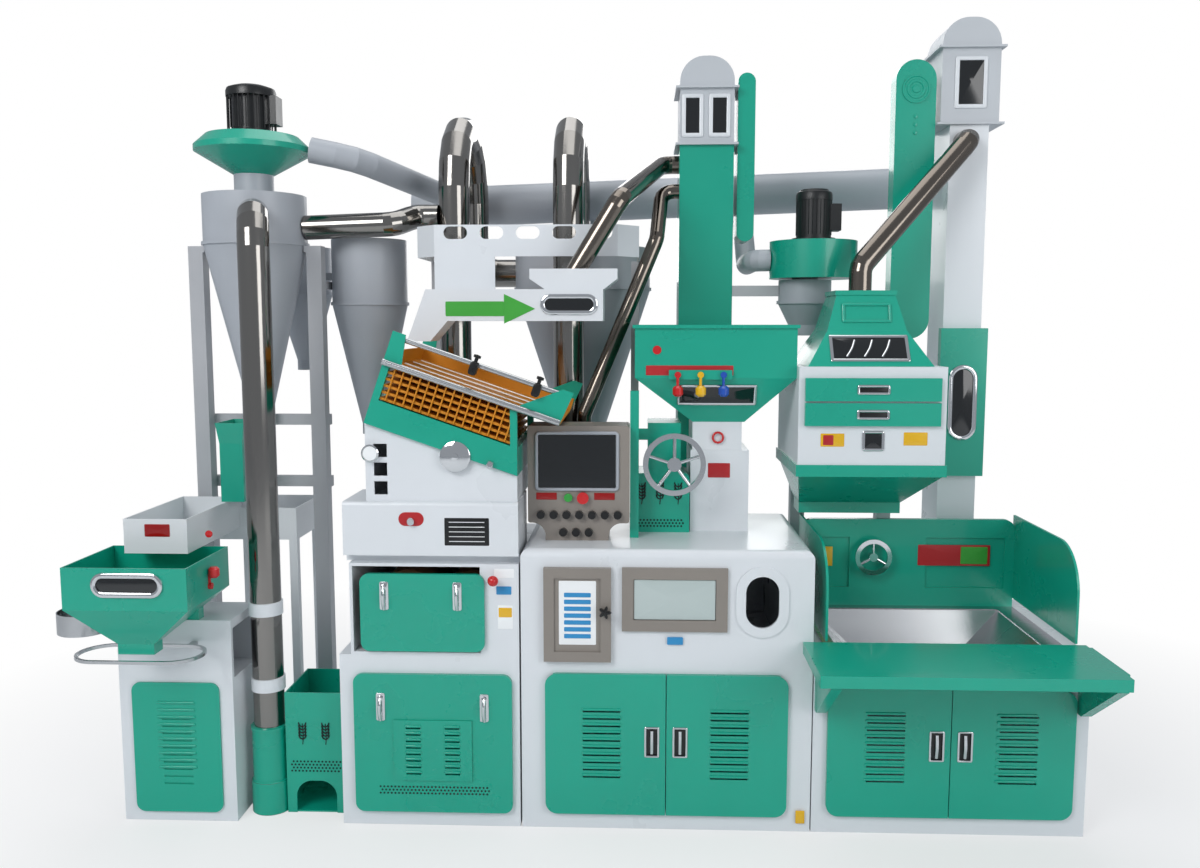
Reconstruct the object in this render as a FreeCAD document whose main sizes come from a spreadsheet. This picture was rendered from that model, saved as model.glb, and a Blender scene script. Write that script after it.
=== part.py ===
import FreeCAD, Part
import math
import os
import re
import Sketcher

# Rice huller with mill, paddy separator, grader, elevators and dust collection, in millimetres, +Z up.
# The origin is the middle of the mill cabinet's base on the floor, and the operator stands at -Y.

V = FreeCAD.Vector
X_AXIS = V(1, 0, 0)
Y_AXIS = V(0, 1, 0)
Z_AXIS = V(0, 0, 1)
ORIGIN = V(0, 0, 0)

doc = FreeCAD.newDocument("RiceHuller")
sheet = doc.addObject("Spreadsheet::Sheet", "Sizes")

SIZES = {
    # Sheet metal and clearances shared by the whole machine.
    "sheet_wall": 5,
    "gore_angle": 22.5,
    "seat_gap": 0.3,
    "running_fit": 0.05,
    "slide_gap": 2,
    # Mill cabinet: the front plane of every cabinet is half its depth in front of the origin.
    "cab_depth": 700,
    "mill_width": 960,
    "mill_height": 950,
    "mill_round": 28,
    "mill_bay_top": 560,
    # Doors: leaves that overlap the edge of their bay.
    "door_base": 55,
    "door_top": 537,
    "door_reach": 400,
    "door_split": 3,
    "door_thick": 16,
    "door_skin": 3,
    "door_round": 40,
    "door_lap": 14,
    "louvre_width": 124,
    "louvre_slot": 6,
    "louvre_pitch": 25,
    "louvre_count": 10,
    "louvre_base": 182,
    "pull_width": 50,
    "pull_height": 105,
    "pull_base": 256,
    "pull_inset": 20,
    "pull_depth": 12,
    # Mill window, oval outlet and chart door on the mill cabinet's front.
    "window_middle": 26,
    "window_width": 345,
    "window_base": 682,
    "window_height": 212,
    "window_rim": 38,
    "window_thick": 12,
    "pane_depth": 8,
    "oval_middle": 312,
    "oval_height": 781,
    "oval_radius": 54,
    "oval_straight": 64,
    "ring_radius": 86,
    "ring_raise": 6,
    "chart_left": -403,
    "chart_width": 221,
    "chart_base": 579,
    "chart_height": 314,
    "chart_thick": 20,
    # Control panel on the cabinet top.
    "panel_left": -470,
    "panel_width": 345,
    "panel_front": -200,
    "panel_depth": 150,
    "panel_base": 1010,
    "panel_height": 332,
    "panel_foot_left": -410,
    "panel_foot_width": 215,
    "panel_neck_round": 45,
    "panel_edge": 8,
    "screen_inset": 38,
    "screen_width": 260,
    "screen_base": 1133,
    "screen_height": 178,
    "screen_thick": 6,
    "button_radius": 14,
    "stop_radius": 20,
    "button_long": 22,
    "button_travel": 6,
    "start_middle": -332,
    "stop_middle": -282,
    "button_height": 1098,
    "selector_radius": 14,
    "selector_long": 20,
    "selector_pitch": 43.5,
    "selector_left": -425,
    "selector_height": 1040,
    "selector_count": 7,
    "low_selector_left": -349,
    "low_selector_height": 980,
    # Mill column, green guard and the mill's hopper.
    "column_left": 90,
    "column_width": 206,
    "column_front": -20,
    "column_depth": 300,
    "column_step": 1240,
    "column_top": 1340,
    "column_shoulder": 26,
    "guard_left": -120,
    "guard_width": 206,
    "guard_front": -50,
    "guard_depth": 190,
    "guard_top": 1161,
    "guard_edge": 20,
    "collar_left": -61,
    "collar_width": 115,
    "collar_top": 1339,
    "bar_width": 30,
    "bar_front": -150,
    "bar_depth": 40,
    "bar_top": 1457,
    "hopper_left": -108,
    "hopper_front": -100,
    "hopper_depth": 400,
    "hopper_rim": 1681,
    "hopper_waist": 1499,
    "throat_width": 182,
    "throat_depth": 180,
    # Handwheels.
    "wheel_radius": 98,
    "wheel_middle": 28,
    "wheel_height": 1208,
    "wheel_front": -165,
    "wheel_rim": 9,
    "wheel_hub": 24,
    "wheel_shaft": 11,
    "spoke_radius": 6,
    "small_wheel_radius": 60,
    "small_wheel_rim": 8,
    "small_wheel_middle": 790,
    "small_wheel_height": 812,
    "small_wheel_stand": 60,
    # Levers under the mill hopper.
    "lever_first": 39,
    "lever_pitch": 78,
    "lever_rod": 5,
    "lever_length": 46,
    "lever_ball": 18,
    "lever_stand": 16,
    "lever_pivot": 11,
    "lever_height": 1511,
    # Huller: lower cabinet, upper cabinet with the rubber rolls, head box.
    "huller_left": -1088,
    "huller_width": 602,
    "huller_height": 590,
    "husk_left": -1048,
    "husk_width": 562,
    "husk_top": 900,
    "head_left": -1066,
    "head_width": 580,
    "head_base": 926,
    "head_height": 178,
    "head_depth": 260,
    "head_neck": 40,
    "head_edge": 12,
    "low_panel_left": -1040,
    "low_panel_width": 530,
    "low_panel_base": 52,
    "low_panel_height": 476,
    "up_panel_left": -1010,
    "up_panel_width": 412,
    "up_panel_base": 607,
    "up_panel_height": 261,
    "panel_thick": 16,
    "panel_round": 30,
    "panel_lap": 16,
    "raised_square": 262,
    "raised_base": 165,
    "raised_height": 208,
    "roll_radius": 112,
    "roll_width": 254,
    "roll_nip": 2,
    "roll_height": 742,
    "roll_front": -230,
    "roll_shaft": 24,
    "roll_middle": -760,
    # Paddy separator, tilted down to the right.
    "sep_tilt": 19,
    "sep_left": -989,
    "sep_height": 1364,
    "sep_front": -345,
    "sep_depth": 540,
    "sep_length": 530,
    "sep_beam": 86,
    "sep_post": 24,
    "sep_case_top": 200,
    "sep_deck_count": 5,
    "sep_deck_pitch": 22,
    "sep_deck_thick": 8,
    "sep_tray_length": 605,
    "sep_tray_rim": 26,
    "sep_rod_height": 298,
    "sep_rod_radius": 9,
    "sep_tube_radius": 11,
    "sep_cheek": 6,
    "base_left": -990,
    "base_width": 500,
    "base_front": -330,
    "base_depth": 500,
    # Feed chute and lattice frame behind the separator.
    "chute_left": -886,
    "chute_right": -216,
    "chute_front": -145,
    "chute_top": 1801,
    "chute_base": 1694,
    "chute_low": 1625,
    "chute_tray_left": -466,
    "chute_tray_right": -168,
    "chute_tray_top": 1870,
    "lattice_left": -893,
    "lattice_front": 10,
    "lattice_top": 2031,
    "lattice_bevel": 75,
    "lattice_panel": 215,
    "lattice_right": -95,
    "lattice_drop": 291,
    "lattice_band": 110,
    "lattice_depth": 350,
    "lattice_wall": 6,
    "slot_long": 84,
    "slot_wide": 44,
    "slot_pitch": 128,
    # Polished suction pipes.
    "goose_radius": 58,
    "goose_bend": 250,
    "goose_left": -792,
    "goose_right": -361,
    "goose_front": 277,
    "goose_straight": 2190,
    "riser_radius": 52,
    "riser_x": -1370,
    "riser_y": -243,
    "riser_top": 2050,
    "riser_bend": 120,
    "riser_gap": 3.5,
    "socket_top": 300,
    "socket_radius": 60,
    "cup_height": 112,
    "cup_radius": 66,
    "cross_radius": 44,
    "cross_z": 2035,
    # Centre elevator.
    "lift_x": 160,
    "lift_width": 205,
    "lift_depth": 210,
    "lift_top": 2358,
    "lift_head_top": 2567,
    "lift_hood_top": 2686,
    "lift_flange": 16,
    "lift_flange_thick": 8,
    "belt_width": 66,
    "belt_base": 2000,
    "belt_top": 2630,
    # Right elevator.
    "right_x": 1140,
    "right_width": 144,
    "right_top": 2426,
    "right_head_width": 216,
    "right_head_top": 2705,
    "right_hood_top": 2816,
    "boot_width": 176,
    "boot_base": 1102,
    "boot_top": 1668,
    "boot_proud": 34,
    "right_belt_width": 150,
    "right_belt_base": 1627,
    "right_belt_top": 2668,
    "spout_radius": 40,
    "paddy_spout_depth": 200,
    "paddy_spout_foot": -300,
    "paddy_spout_top": 2190,
    "husk_spout_top": 2300,
    "spout_stub": 66,
    # Grader over the intake.
    "grader_left": 447,
    "grader_width": 496,
    "grader_base": 1207,
    "grader_top": 1540,
    "grader_front": -150,
    "grader_depth": 500,
    "drawer_left": 467,
    "drawer_width": 454,
    "drawer_height": 78,
    "drawer_low": 1341,
    "drawer_gap": 6,
    "drawer_deep": 360,
    "hood_width": 204,
    "hood_depth": 200,
    "hood_top": 1800,
    "hood_waist": 1660,
    "hood_shoulder": 70,
    "funnel_width": 376,
    "funnel_base": 1020,
    "funnel_collar": 40,
    # Intake cabinet, hopper, shelf.
    "intake_left": 484,
    "intake_width": 894,
    "intake_height": 612,
    "intake_post": 46,
    "intake_door_base": 62,
    "intake_door_top": 498,
    "pit_left": 560,
    "pit_width": 700,
    "pit_throat": 200,
    "pit_base": 380,
    "back_left": 528,
    "back_width": 797,
    "back_top": 950,
    "back_plane": 250,
    "back_thick": 24,
    "cheek_top": 965,
    "cheek_round": 160,
    "cheek_thick": 8,
    "shelf_left": 446,
    "shelf_width": 910,
    "shelf_reach": 330,
    "shelf_thick": 38,
    "bracket_drop": 190,
    "bracket_thick": 34,
    # Outlet cabinet, its hopper, tray and bag hoop on the left.
    "outlet_left": -1840,
    "outlet_width": 388,
    "outlet_depth": 230,
    "outlet_height": 700,
    "outhop_left": -1900,
    "outhop_width": 400,
    "outhop_front": -560,
    "outhop_depth": 330,
    "outhop_base": 790,
    "outhop_top": 926,
    "outspout_width": 118,
    "outspout_top": 664,
    "outspout_base": 630,
    "hoop_radius": 88,
    "hoop_straight": 230,
    "hoop_wire": 5,
    "hoop_height": 618,
    "pan_radius": 84,
    "pan_deep": 70,
    "pan_x": -1960,
    "pan_y": -330,
    "pan_height": 655,
    "tray_left": -1800,
    "tray_width": 214,
    "tray_front": -350,
    "tray_depth": 450,
    "tray_base": 926,
    "tray_top": 1042,
    "trough_width": 325,
    "trough_depth": 300,
    "trough_base": 880,
    "trough_top": 1000,
    "leg_size": 30,
    # Bran bin.
    "bin_width": 205,
    "bin_front": -278,
    "bin_depth": 250,
    "bin_height": 428,
    "bin_arch_width": 140,
    "bin_arch_height": 115,
    # Dust collection: cyclones, fans, motors and ducts.
    "left_cyclone_x": -1506,
    "left_cyclone_y": 150,
    "left_cyclone_radius": 184,
    "left_cyclone_top": 2150,
    "left_cyclone_waist": 1968,
    "left_cyclone_low": 1345,
    "left_cyclone_tip": 48,
    "left_neck_radius": 70,
    "left_neck_top": 2224,
    "left_fan_radius": 205,
    "left_fan_top": 2362,
    "left_motor_radius": 68,
    "left_motor_top": 2540,
    "back_cyclone_x": -1439,
    "back_cyclone_y": 480,
    "back_cyclone_radius": 110,
    "back_cyclone_top": 1985,
    "back_cyclone_waist": 1800,
    "back_cyclone_low": 1500,
    "back_cyclone_tip": 34,
    "mid_cyclone_x": -1133,
    "mid_cyclone_y": 330,
    "mid_cyclone_radius": 142,
    "mid_cyclone_top": 2003,
    "mid_cyclone_waist": 1755,
    "mid_cyclone_low": 1258,
    "mid_cyclone_tip": 40,
    "husk_cyclone_x": -327,
    "husk_cyclone_y": 650,
    "husk_cyclone_radius": 277,
    "husk_cyclone_top": 1990,
    "husk_cyclone_waist": 1820,
    "husk_cyclone_low": 1180,
    "husk_cyclone_tip": 80,
    "right_cyclone_x": 541,
    "right_cyclone_y": 370,
    "right_cyclone_radius": 100,
    "right_cyclone_top": 1850,
    "right_cyclone_waist": 1760,
    "right_cyclone_low": 1640,
    "right_cyclone_tip": 60,
    "right_fan_x": 570,
    "right_fan_radius": 165,
    "right_fan_base": 1856,
    "right_fan_top": 1996,
    "right_motor_radius": 66,
    "right_motor_top": 2190,
    "main_duct_radius": 86,
    "main_duct_left": -1084,
    "main_duct_right": 1056,
    "main_duct_y": 950,
    "main_duct_z": 2190,
    "main_duct_rise": 78,
    "left_duct_radius": 46,
    "husk_duct_radius": 60,
    # Posts, crusher.
    "post_size": 54,
    "left_post_x": -1724,
    "right_post_x": -1285,
    "post_y": 150,
    "post_top": 1945,
    "low_beam": 1070,
    "beam_height": 40,
    "beam_depth": 30,
    "crusher_x": -1563,
    "crusher_y": 60,
    "crusher_width": 84,
    "crusher_depth": 150,
    "crusher_body_top": 1255,
    "crusher_top": 1330,
    "crusher_mouth": 104,
}

for row, (name, number) in enumerate(SIZES.items(), start=1):
    sheet.set(f"A{row}", name)
    sheet.set(f"B{row}", str(number))
    sheet.setAlias(f"B{row}", name)
doc.recompute()

FRONT = "-cab_depth / 2"
BACK = "cab_depth / 2"
PLANES = {"top": "XY_Plane", "front": "XZ_Plane", "side": "YZ_Plane"}
TURNS = {"x": (Y_AXIS, 90), "y": (X_AXIS, -90), "z": (Z_AXIS, 0)}


# Reading and binding sizes.

TIED = {
    "chute_depth": "lattice_front - seat_gap - chute_front",
    "lift_front": "cab_depth / 2 + seat_gap + lift_flange_thick",
    "bin_left": "riser_x + cup_radius + seat_gap",
    "hopper_width": "grader_left - seat_gap - hopper_left",
}


def cells(formula):
    """Prefix each size name in a formula with the name of the sheet, and write out the tied ones."""

    def cell(word):
        """One name of the formula as the sheet knows it."""
        if word[0] in TIED:
            return "(" + cells(TIED[word[0]]) + ")"
        return "Sizes." + word[0] if word[0] in SIZES else word[0]

    return re.sub(r"[a-z_]+", cell, str(formula))


def value(formula):
    """Work out a formula of sizes as a number."""
    return float(sheet.evalExpression(cells(formula)))


def bind(item, **formulas):
    """Tie properties of an object to formulas of sizes."""
    for name, formula in formulas.items():
        item.setExpression(name, cells(formula))
    return item


def place(item, x=0, y=0, z=0):
    """Tie an object's position to formulas of sizes."""
    for name, formula in zip("xyz", (x, y, z)):
        item.setExpression(f"Placement.Base.{name}", cells(formula))
    return item


# Primitives.

def block(name, left, right, front, back, base, top):
    """A box given by the places of its six faces."""
    box = doc.addObject("Part::Box", name)
    bind(box, Length=f"({right}) - ({left})", Width=f"({back}) - ({front})", Height=f"({top}) - ({base})")
    return place(box, left, front, base)


def rod(name, radius, length, x, y, z, along="z"):
    """A round bar that starts at a point and runs along one axis."""
    bar = doc.addObject("Part::Cylinder", name)
    bar.Placement = FreeCAD.Placement(ORIGIN, FreeCAD.Rotation(*TURNS[along]))
    bind(bar, Radius=radius, Height=length)
    return place(bar, x, y, z)


def knob(name, radius, x, y, z):
    """A rounded grip, turned from a bevelled profile."""
    bevel = f"{radius} * 0.6"
    profile = [("0", f"-{radius}"), (bevel, f"-{radius}"), (radius, f"-{bevel}"), (radius, bevel), (bevel, radius), ("0", radius)]
    return turned(name, x, y, profile, z)


def taper(name, low, high, base, top):
    """A four-sided frustum between two level rectangles, each left, right, front and back."""
    wedge = doc.addObject("Part::Wedge", name)
    bind(wedge, Xmin=low[0], Xmax=low[1], Zmin=f"-({low[3]})", Zmax=f"-({low[2]})")
    bind(wedge, X2min=high[0], X2max=high[1], Z2min=f"-({high[3]})", Z2max=f"-({high[2]})")
    bind(wedge, Ymin=base, Ymax=top)
    wedge.Placement = FreeCAD.Placement(ORIGIN, FreeCAD.Rotation(X_AXIS, 90))
    return wedge


def inset(rectangle, wall):
    """The same rectangle one wall further in."""
    left, right, front, back = rectangle
    return (f"{left} + ({wall})", f"{right} - ({wall})", f"{front} + ({wall})", f"{back} - ({wall})")


def chute(name, low, high, base, top, wall="sheet_wall"):
    """An open four-sided funnel of sheet metal."""
    outer = taper(name + "_outer", low, high, base, top)
    inner = taper(name + "_inner", inset(low, wall), inset(high, wall), base, top)
    return cut(name, outer, inner)


def case(name, left, right, front, back, base, top, wall="sheet_wall", open_top=True):
    """A box of sheet metal with a floor, open or closed above."""
    roof = top if open_top else f"{top} - {wall}"
    outer = block(name + "_outer", left, right, front, back, base, top)
    inside = inset((left, right, front, back), wall)
    inner = block(name + "_inner", *inside, f"{base} + {wall}", roof)
    return cut(name, outer, inner)


def tube(name, left, right, front, back, base, top, wall="sheet_wall"):
    """An upright square tube, open at both ends."""
    outer = block(name + "_outer", left, right, front, back, base, top)
    inner = block(name + "_inner", *inset((left, right, front, back), wall), base, top)
    return cut(name, outer, inner)


# Booleans and groups.

def cut(name, base, *tools):
    """The base without the tools."""
    result = doc.addObject("Part::Cut", name)
    result.Base = base
    result.Tool = tools[0] if len(tools) == 1 else fuse(name + "_tools", *tools)
    return result


def fuse(name, *pieces):
    """One piece made of several that touch."""
    result = doc.addObject("Part::MultiFuse", name)
    result.Shapes = list(pieces)
    return result


def group(name, *pieces):
    """Separate pieces of one node."""
    result = doc.addObject("Part::Compound", name)
    result.Links = list(pieces)
    return result


# Sketched bodies.

def body(name):
    return doc.addObject("PartDesign::Body", name)


def sketch(owner, name, plane, offset=0):
    """A sketch on one of the body's own planes, moved along the plane's normal."""
    drawing = owner.newObject("Sketcher::SketchObject", name)
    role = PLANES[plane]
    drawing.AttachmentSupport = ([item for item in owner.Origin.OriginFeatures if item.Role == role][0], "")
    drawing.MapMode = "FlatFace"
    drawing.setExpression("AttachmentOffset.Base.z", cells(offset))
    return drawing


def tie(drawing, geometry, point, across, up):
    """Hold one point of a sketch at two formulas of sizes."""
    for kind, formula in (("DistanceX", across), ("DistanceY", up)):
        rule = drawing.addConstraint(Sketcher.Constraint(kind, -1, 1, geometry, point, value(formula)))
        drawing.setExpression(f"Constraints[{rule}]", cells(formula))


def polygon(drawing, corners):
    """A closed outline through corners given as formulas."""
    first = drawing.GeometryCount
    spots = [V(value(across), value(up), 0) for across, up in corners]
    for start, end in zip(spots, spots[1:] + spots[:1]):
        drawing.addGeometry(Part.LineSegment(start, end))
    for index in range(len(corners)):
        following = first + (index + 1) % len(corners)
        drawing.addConstraint(Sketcher.Constraint("Coincident", first + index, 2, following, 1))
    for index, (across, up) in enumerate(corners):
        tie(drawing, first + index, 1, across, up)
    return drawing


def rectangle(drawing, left, right, base, top):
    return polygon(drawing, [(left, base), (right, base), (right, top), (left, top)])


def ring(drawing, radius, across, up):
    """A circle in a sketch."""
    spot = V(value(across), value(up), 0)
    index = drawing.addGeometry(Part.Circle(spot, Z_AXIS, value(radius)))
    tie(drawing, index, 3, across, up)
    rule = drawing.addConstraint(Sketcher.Constraint("Radius", index, value(radius)))
    drawing.setExpression(f"Constraints[{rule}]", cells(radius))
    return drawing


def stadium(drawing, radius, straight, across, up, upright=True):
    """A slot with round ends, given by its middle, end radius and straight length."""
    size, half = value(radius), value(straight) / 2
    middle = V(value(across), value(up), 0)
    along = V(0, half, 0) if upright else V(half, 0, 0)
    start = 0 if upright else -math.pi / 2
    first = drawing.GeometryCount
    for sign in (1, -1):
        end_circle = Part.Circle(middle + along * sign, Z_AXIS, size)
        turn = start if sign == 1 else start + math.pi
        drawing.addGeometry(Part.ArcOfCircle(end_circle, turn, turn + math.pi))
        shift = f"{'+' if sign == 1 else '-'} ({straight}) / 2"
        spot = (across, f"{up} {shift}") if upright else (f"{across} {shift}", up)
        tie(drawing, drawing.GeometryCount - 1, 3, *spot)
    for low, high in ((first, first + 1), (first + 1, first)):
        ends = [drawing.getPoint(low, 2), drawing.getPoint(high, 1)]
        side = drawing.addGeometry(Part.LineSegment(*ends))
        drawing.addConstraint(Sketcher.Constraint("Tangent", low, 2, side, 1))
        drawing.addConstraint(Sketcher.Constraint("Tangent", side, 2, high, 1))
    rule = drawing.addConstraint(Sketcher.Constraint("Radius", first, size))
    drawing.setExpression(f"Constraints[{rule}]", cells(radius))
    return drawing


def pad(owner, drawing, length, inward=False):
    """Material from a sketch, along its normal or against it."""
    feature = owner.newObject("PartDesign::Pad", drawing.Name + "_pad")
    feature.Profile = drawing
    feature.Reversed = inward
    return bind(feature, Length=length)


def pocket(owner, drawing, depth):
    """A recess from a sketch, against its normal, checked to take material away."""
    doc.recompute()
    before = owner.Shape.Volume
    feature = owner.newObject("PartDesign::Pocket", drawing.Name + "_pocket")
    feature.Profile = drawing
    bind(feature, Length=depth)
    doc.recompute()
    if owner.Shape.Volume >= before:
        raise ValueError(f"{drawing.Name} cuts nothing")
    return feature


def rows(owner, feature, drawing, axis, pitch, count):
    """Copies of a feature at one pitch along an axis of its sketch."""
    pattern = owner.newObject("PartDesign::LinearPattern", feature.Name + "_rows")
    pattern.Originals = [feature]
    pattern.Direction = (drawing, [axis])
    pattern.Mode = "Spacing"
    bind(pattern, Offset=pitch, Occurrences=count)
    owner.Tip = pattern
    return pattern


def soften(owner, radius, chosen):
    """Round the edges for which a test on their middle and direction holds."""
    doc.recompute()
    names = []
    for index, edge in enumerate(owner.Shape.Edges, start=1):
        middle = edge.CenterOfMass
        run = edge.Vertexes[-1].Point - edge.Vertexes[0].Point
        if run.Length and chosen(middle, run.normalize()):
            names.append(f"Edge{index}")
    carrier = owner.Tip
    feature = owner.newObject("PartDesign::Fillet", owner.Name + f"_round_{len(owner.Group)}")
    feature.Base = (carrier, names)
    return bind(feature, Radius=radius)


def turned(name, x, y, profile, z=0, along="z"):
    """A body turned about its own upright axis from pairs of radius and height."""
    owner = body(name)
    drawing = polygon(sketch(owner, name + "_profile", "front"), profile)
    turning = owner.newObject("PartDesign::Revolution", name + "_turn")
    turning.Profile = drawing
    turning.ReferenceAxis = (drawing, ["V_Axis"])
    turning.Angle = 360
    owner.Placement = FreeCAD.Placement(ORIGIN, FreeCAD.Rotation(*TURNS[along]))
    return place(owner, x, y, z)


def shell(profile, wall="sheet_wall"):
    """An outer profile and the same profile one wall further in, as one outline."""
    inner = [(f"{radius} - {wall}", height) for radius, height in reversed(profile)]
    return profile + inner


# Bent pipes: straight runs joined by elbows of short mitred lengths, as sheet-metal ducts are made.

def elbow(before, corner, after, curve):
    """Points of a mitred elbow that turns from one run to the next on one bend radius."""
    back, ahead = (before - corner).normalize(), (after - corner).normalize()
    half = back.getAngle(ahead) / 2
    reach = curve / math.tan(half)
    centre = corner + (back + ahead).normalize() * (curve / math.sin(half))
    first, last = corner + back * reach, corner + ahead * reach
    turn = math.pi - 2 * half
    steps = max(2, round(math.degrees(turn) / value("gore_angle")))
    arm, far = first - centre, last - centre
    spots = []
    for step in range(steps + 1):
        angle = turn * step / steps
        spots.append(centre + (arm * math.sin(turn - angle) + far * math.sin(angle)) * (1 / math.sin(turn)))
    return spots


def bent(points, radius, bends):
    """The solid pipe of one radius along points whose corners become elbows; the last bend serves the rest."""
    corners = [V(*[value(part) for part in point]) for point in points]
    spots = [corners[0]]
    for index, (before, corner, after) in enumerate(zip(corners, corners[1:], corners[2:])):
        spots += elbow(before, corner, after, value(bends[min(index, len(bends) - 1)]))
    spots.append(corners[-1])
    path = [spots[0]]
    for spot in spots[1:]:
        if (spot - path[-1]).Length > 0.01:
            path.append(spot)
    end = Part.Wire(Part.makeCircle(value(radius), path[0], path[1] - path[0]))
    return Part.makePolygon(path).makePipeShell([end], True, False, 1)


def pipe(name, points, radius, *bends):
    """A bent pipe as an object of the document."""
    item = doc.addObject("Part::Feature", name)
    item.Shape = bent(points, radius, bends)
    return item


# Mill cabinet: a rounded sheet-metal body with a door bay below and the milling chamber's bay above.

mill_left, mill_right = "-mill_width / 2", "mill_width / 2"
mill_cabinet = body("mill_cabinet")
front_outline = sketch(mill_cabinet, "cabinet_front", "front", BACK)
rectangle(front_outline, mill_left, mill_right, 0, "mill_height")
pad(mill_cabinet, front_outline, "cab_depth", inward=True)
top_height = value("mill_height")
soften(mill_cabinet, "mill_round", lambda middle, run: middle.z > top_height - 1 and abs(run.z) < 0.5)
bay_edge = "door_reach - door_lap"
bay = sketch(mill_cabinet, "door_bay", "front", BACK)
rectangle(bay, f"-({bay_edge})", bay_edge, "door_base + door_lap", "door_top - door_lap")
pocket(mill_cabinet, bay, "cab_depth - sheet_wall")
chamber = sketch(mill_cabinet, "milling_bay", "front", "cab_depth / 2 - sheet_wall")
rectangle(chamber, "chart_left", "door_reach", "mill_bay_top", "mill_height - mill_round")
pocket(mill_cabinet, chamber, "cab_depth - 2 * sheet_wall")
openings = sketch(mill_cabinet, "front_openings", "front", BACK)
rectangle(
    openings,
    "window_middle - window_width / 2 + window_rim",
    "window_middle + window_width / 2 - window_rim",
    "window_base + window_rim",
    "window_base + window_height - window_rim",
)
stadium(openings, "oval_radius", "oval_straight", "oval_middle", "oval_height")
pocket(mill_cabinet, openings, "sheet_wall + 1")
oval_frame = sketch(mill_cabinet, "oval_frame", "front", BACK)
stadium(oval_frame, "ring_radius", "oval_straight", "oval_middle", "oval_height")
stadium(oval_frame, "oval_radius", "oval_straight", "oval_middle", "oval_height")
pad(mill_cabinet, oval_frame, "ring_raise")


# Doors: pressed leaves with a folded edge, slots for air and a recessed pull.

def door(name, hinge, free, base, top, slots):
    """A pressed leaf between its hinged and its free edge, either of which may be the left one."""
    toward = "+" if value(free) < value(hinge) else "-"
    away = "-" if toward == "+" else "+"
    owner = body(name)
    leaf = sketch(owner, name + "_leaf", "front", f"{BACK} + seat_gap")
    left, right = (free, hinge) if toward == "+" else (hinge, free)
    rectangle(leaf, left, right, base, top)
    pad(owner, leaf, "door_thick")
    hinge_place = value(hinge)
    corners = lambda middle, run: abs(middle.x - hinge_place) < 1 and abs(run.y) > 0.5
    soften(owner, "door_round", corners)
    hollow = sketch(owner, name + "_hollow", "front", f"{BACK} + seat_gap + door_thick - door_skin")
    rectangle(hollow, f"{left} + door_skin", f"{right} - door_skin", f"{base} + door_skin", f"{top} - door_skin")
    near = f"({free}) {toward} pull_inset"
    far = f"({free}) {toward} (pull_inset + pull_width)"
    pull_left, pull_right = (near, far) if toward == "+" else (far, near)
    rectangle(hollow, pull_left, pull_right, "pull_base", "pull_base + pull_height")
    pocket(owner, hollow, "door_thick")
    slot = sketch(owner, name + "_slot", "front", f"{BACK} + seat_gap + door_thick")
    rectangle(slot, f"{slots} - louvre_width / 2", f"{slots} + louvre_width / 2", "louvre_base", "louvre_base + louvre_slot")
    first_slot = pocket(owner, slot, "door_skin + 1")
    rows(owner, first_slot, slot, "V_Axis", "louvre_pitch", "louvre_count")
    grip = sketch(owner, name + "_grip", "front", f"{BACK} + seat_gap + door_thick")
    rectangle(grip, f"{pull_left} + door_skin", f"{pull_right} - door_skin", "pull_base + door_skin", "pull_base + pull_height - door_skin")
    pocket(owner, grip, "pull_depth")
    return owner


mill_door_left = door("mill_door_left", "-door_reach", "-door_split / 2", "door_base", "door_top", "-door_reach / 2 - 13")
mill_door_right = door("mill_door_right", "door_reach", "door_split / 2", "door_base", "door_top", "door_reach / 2 + 9")

chart_door = body("chart_door")
chart_leaf = sketch(chart_door, "chart_leaf", "front", f"{BACK} + seat_gap")
rectangle(chart_leaf, "chart_left", "chart_left + chart_width", "chart_base", "chart_base + chart_height")
pad(chart_door, chart_leaf, "chart_thick")
chart_recess = sketch(chart_door, "chart_recess", "front", f"{BACK} + seat_gap + chart_thick")
rectangle(chart_recess, "chart_left + 34", "chart_left + chart_width - 34", "chart_base + 34", "chart_base + chart_height - 34")
pocket(chart_door, chart_recess, "chart_thick / 3")


# Framed windows: a steel frame with its pane set back, and round-ended sight glasses.

def framed_window(name, left, width, base, height, front, rim, thick="window_thick"):
    """A flat frame whose back lies on a wall at the given distance in front of the origin."""
    owner = body(name)
    frame_outline = sketch(owner, name + "_frame", "front", front)
    rectangle(frame_outline, left, f"{left} + {width}", base, f"{base} + {height}")
    pad(owner, frame_outline, thick)
    recess = sketch(owner, name + "_recess", "front", f"{front} + {thick}")
    rectangle(recess, f"{left} + {rim}", f"{left} + {width} - {rim}", f"{base} + {rim}", f"{base} + {height} - {rim}")
    pocket(owner, recess, "pane_depth")
    return owner


mill_window = framed_window(
    "mill_window", "window_middle - window_width / 2", "window_width", "window_base", "window_height", BACK, "window_rim"
)


# Control panel: a flat housing on a foot with a curved neck.

control_housing = body("control_housing")
panel_outline = sketch(control_housing, "panel_outline", "front", "-panel_front")
polygon(
    panel_outline,
    [
        ("panel_left", "panel_base"),
        ("panel_foot_left", "panel_base"),
        ("panel_foot_left", "mill_height"),
        ("panel_foot_left + panel_foot_width", "mill_height"),
        ("panel_foot_left + panel_foot_width", "panel_base"),
        ("panel_left + panel_width", "panel_base"),
        ("panel_left + panel_width", "panel_base + panel_height"),
        ("panel_left", "panel_base + panel_height"),
    ],
)
pad(control_housing, panel_outline, "panel_depth", inward=True)
neck_height = value("panel_base")
neck_sides = (value("panel_foot_left"), value("panel_foot_left + panel_foot_width"))
soften(
    control_housing,
    "panel_neck_round",
    lambda middle, run: abs(run.y) > 0.5
    and abs(middle.z - neck_height) < 1
    and min(abs(middle.x - side) for side in neck_sides) < 1,
)
panel_sides = (value("panel_left"), value("panel_left + panel_width"))
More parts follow.
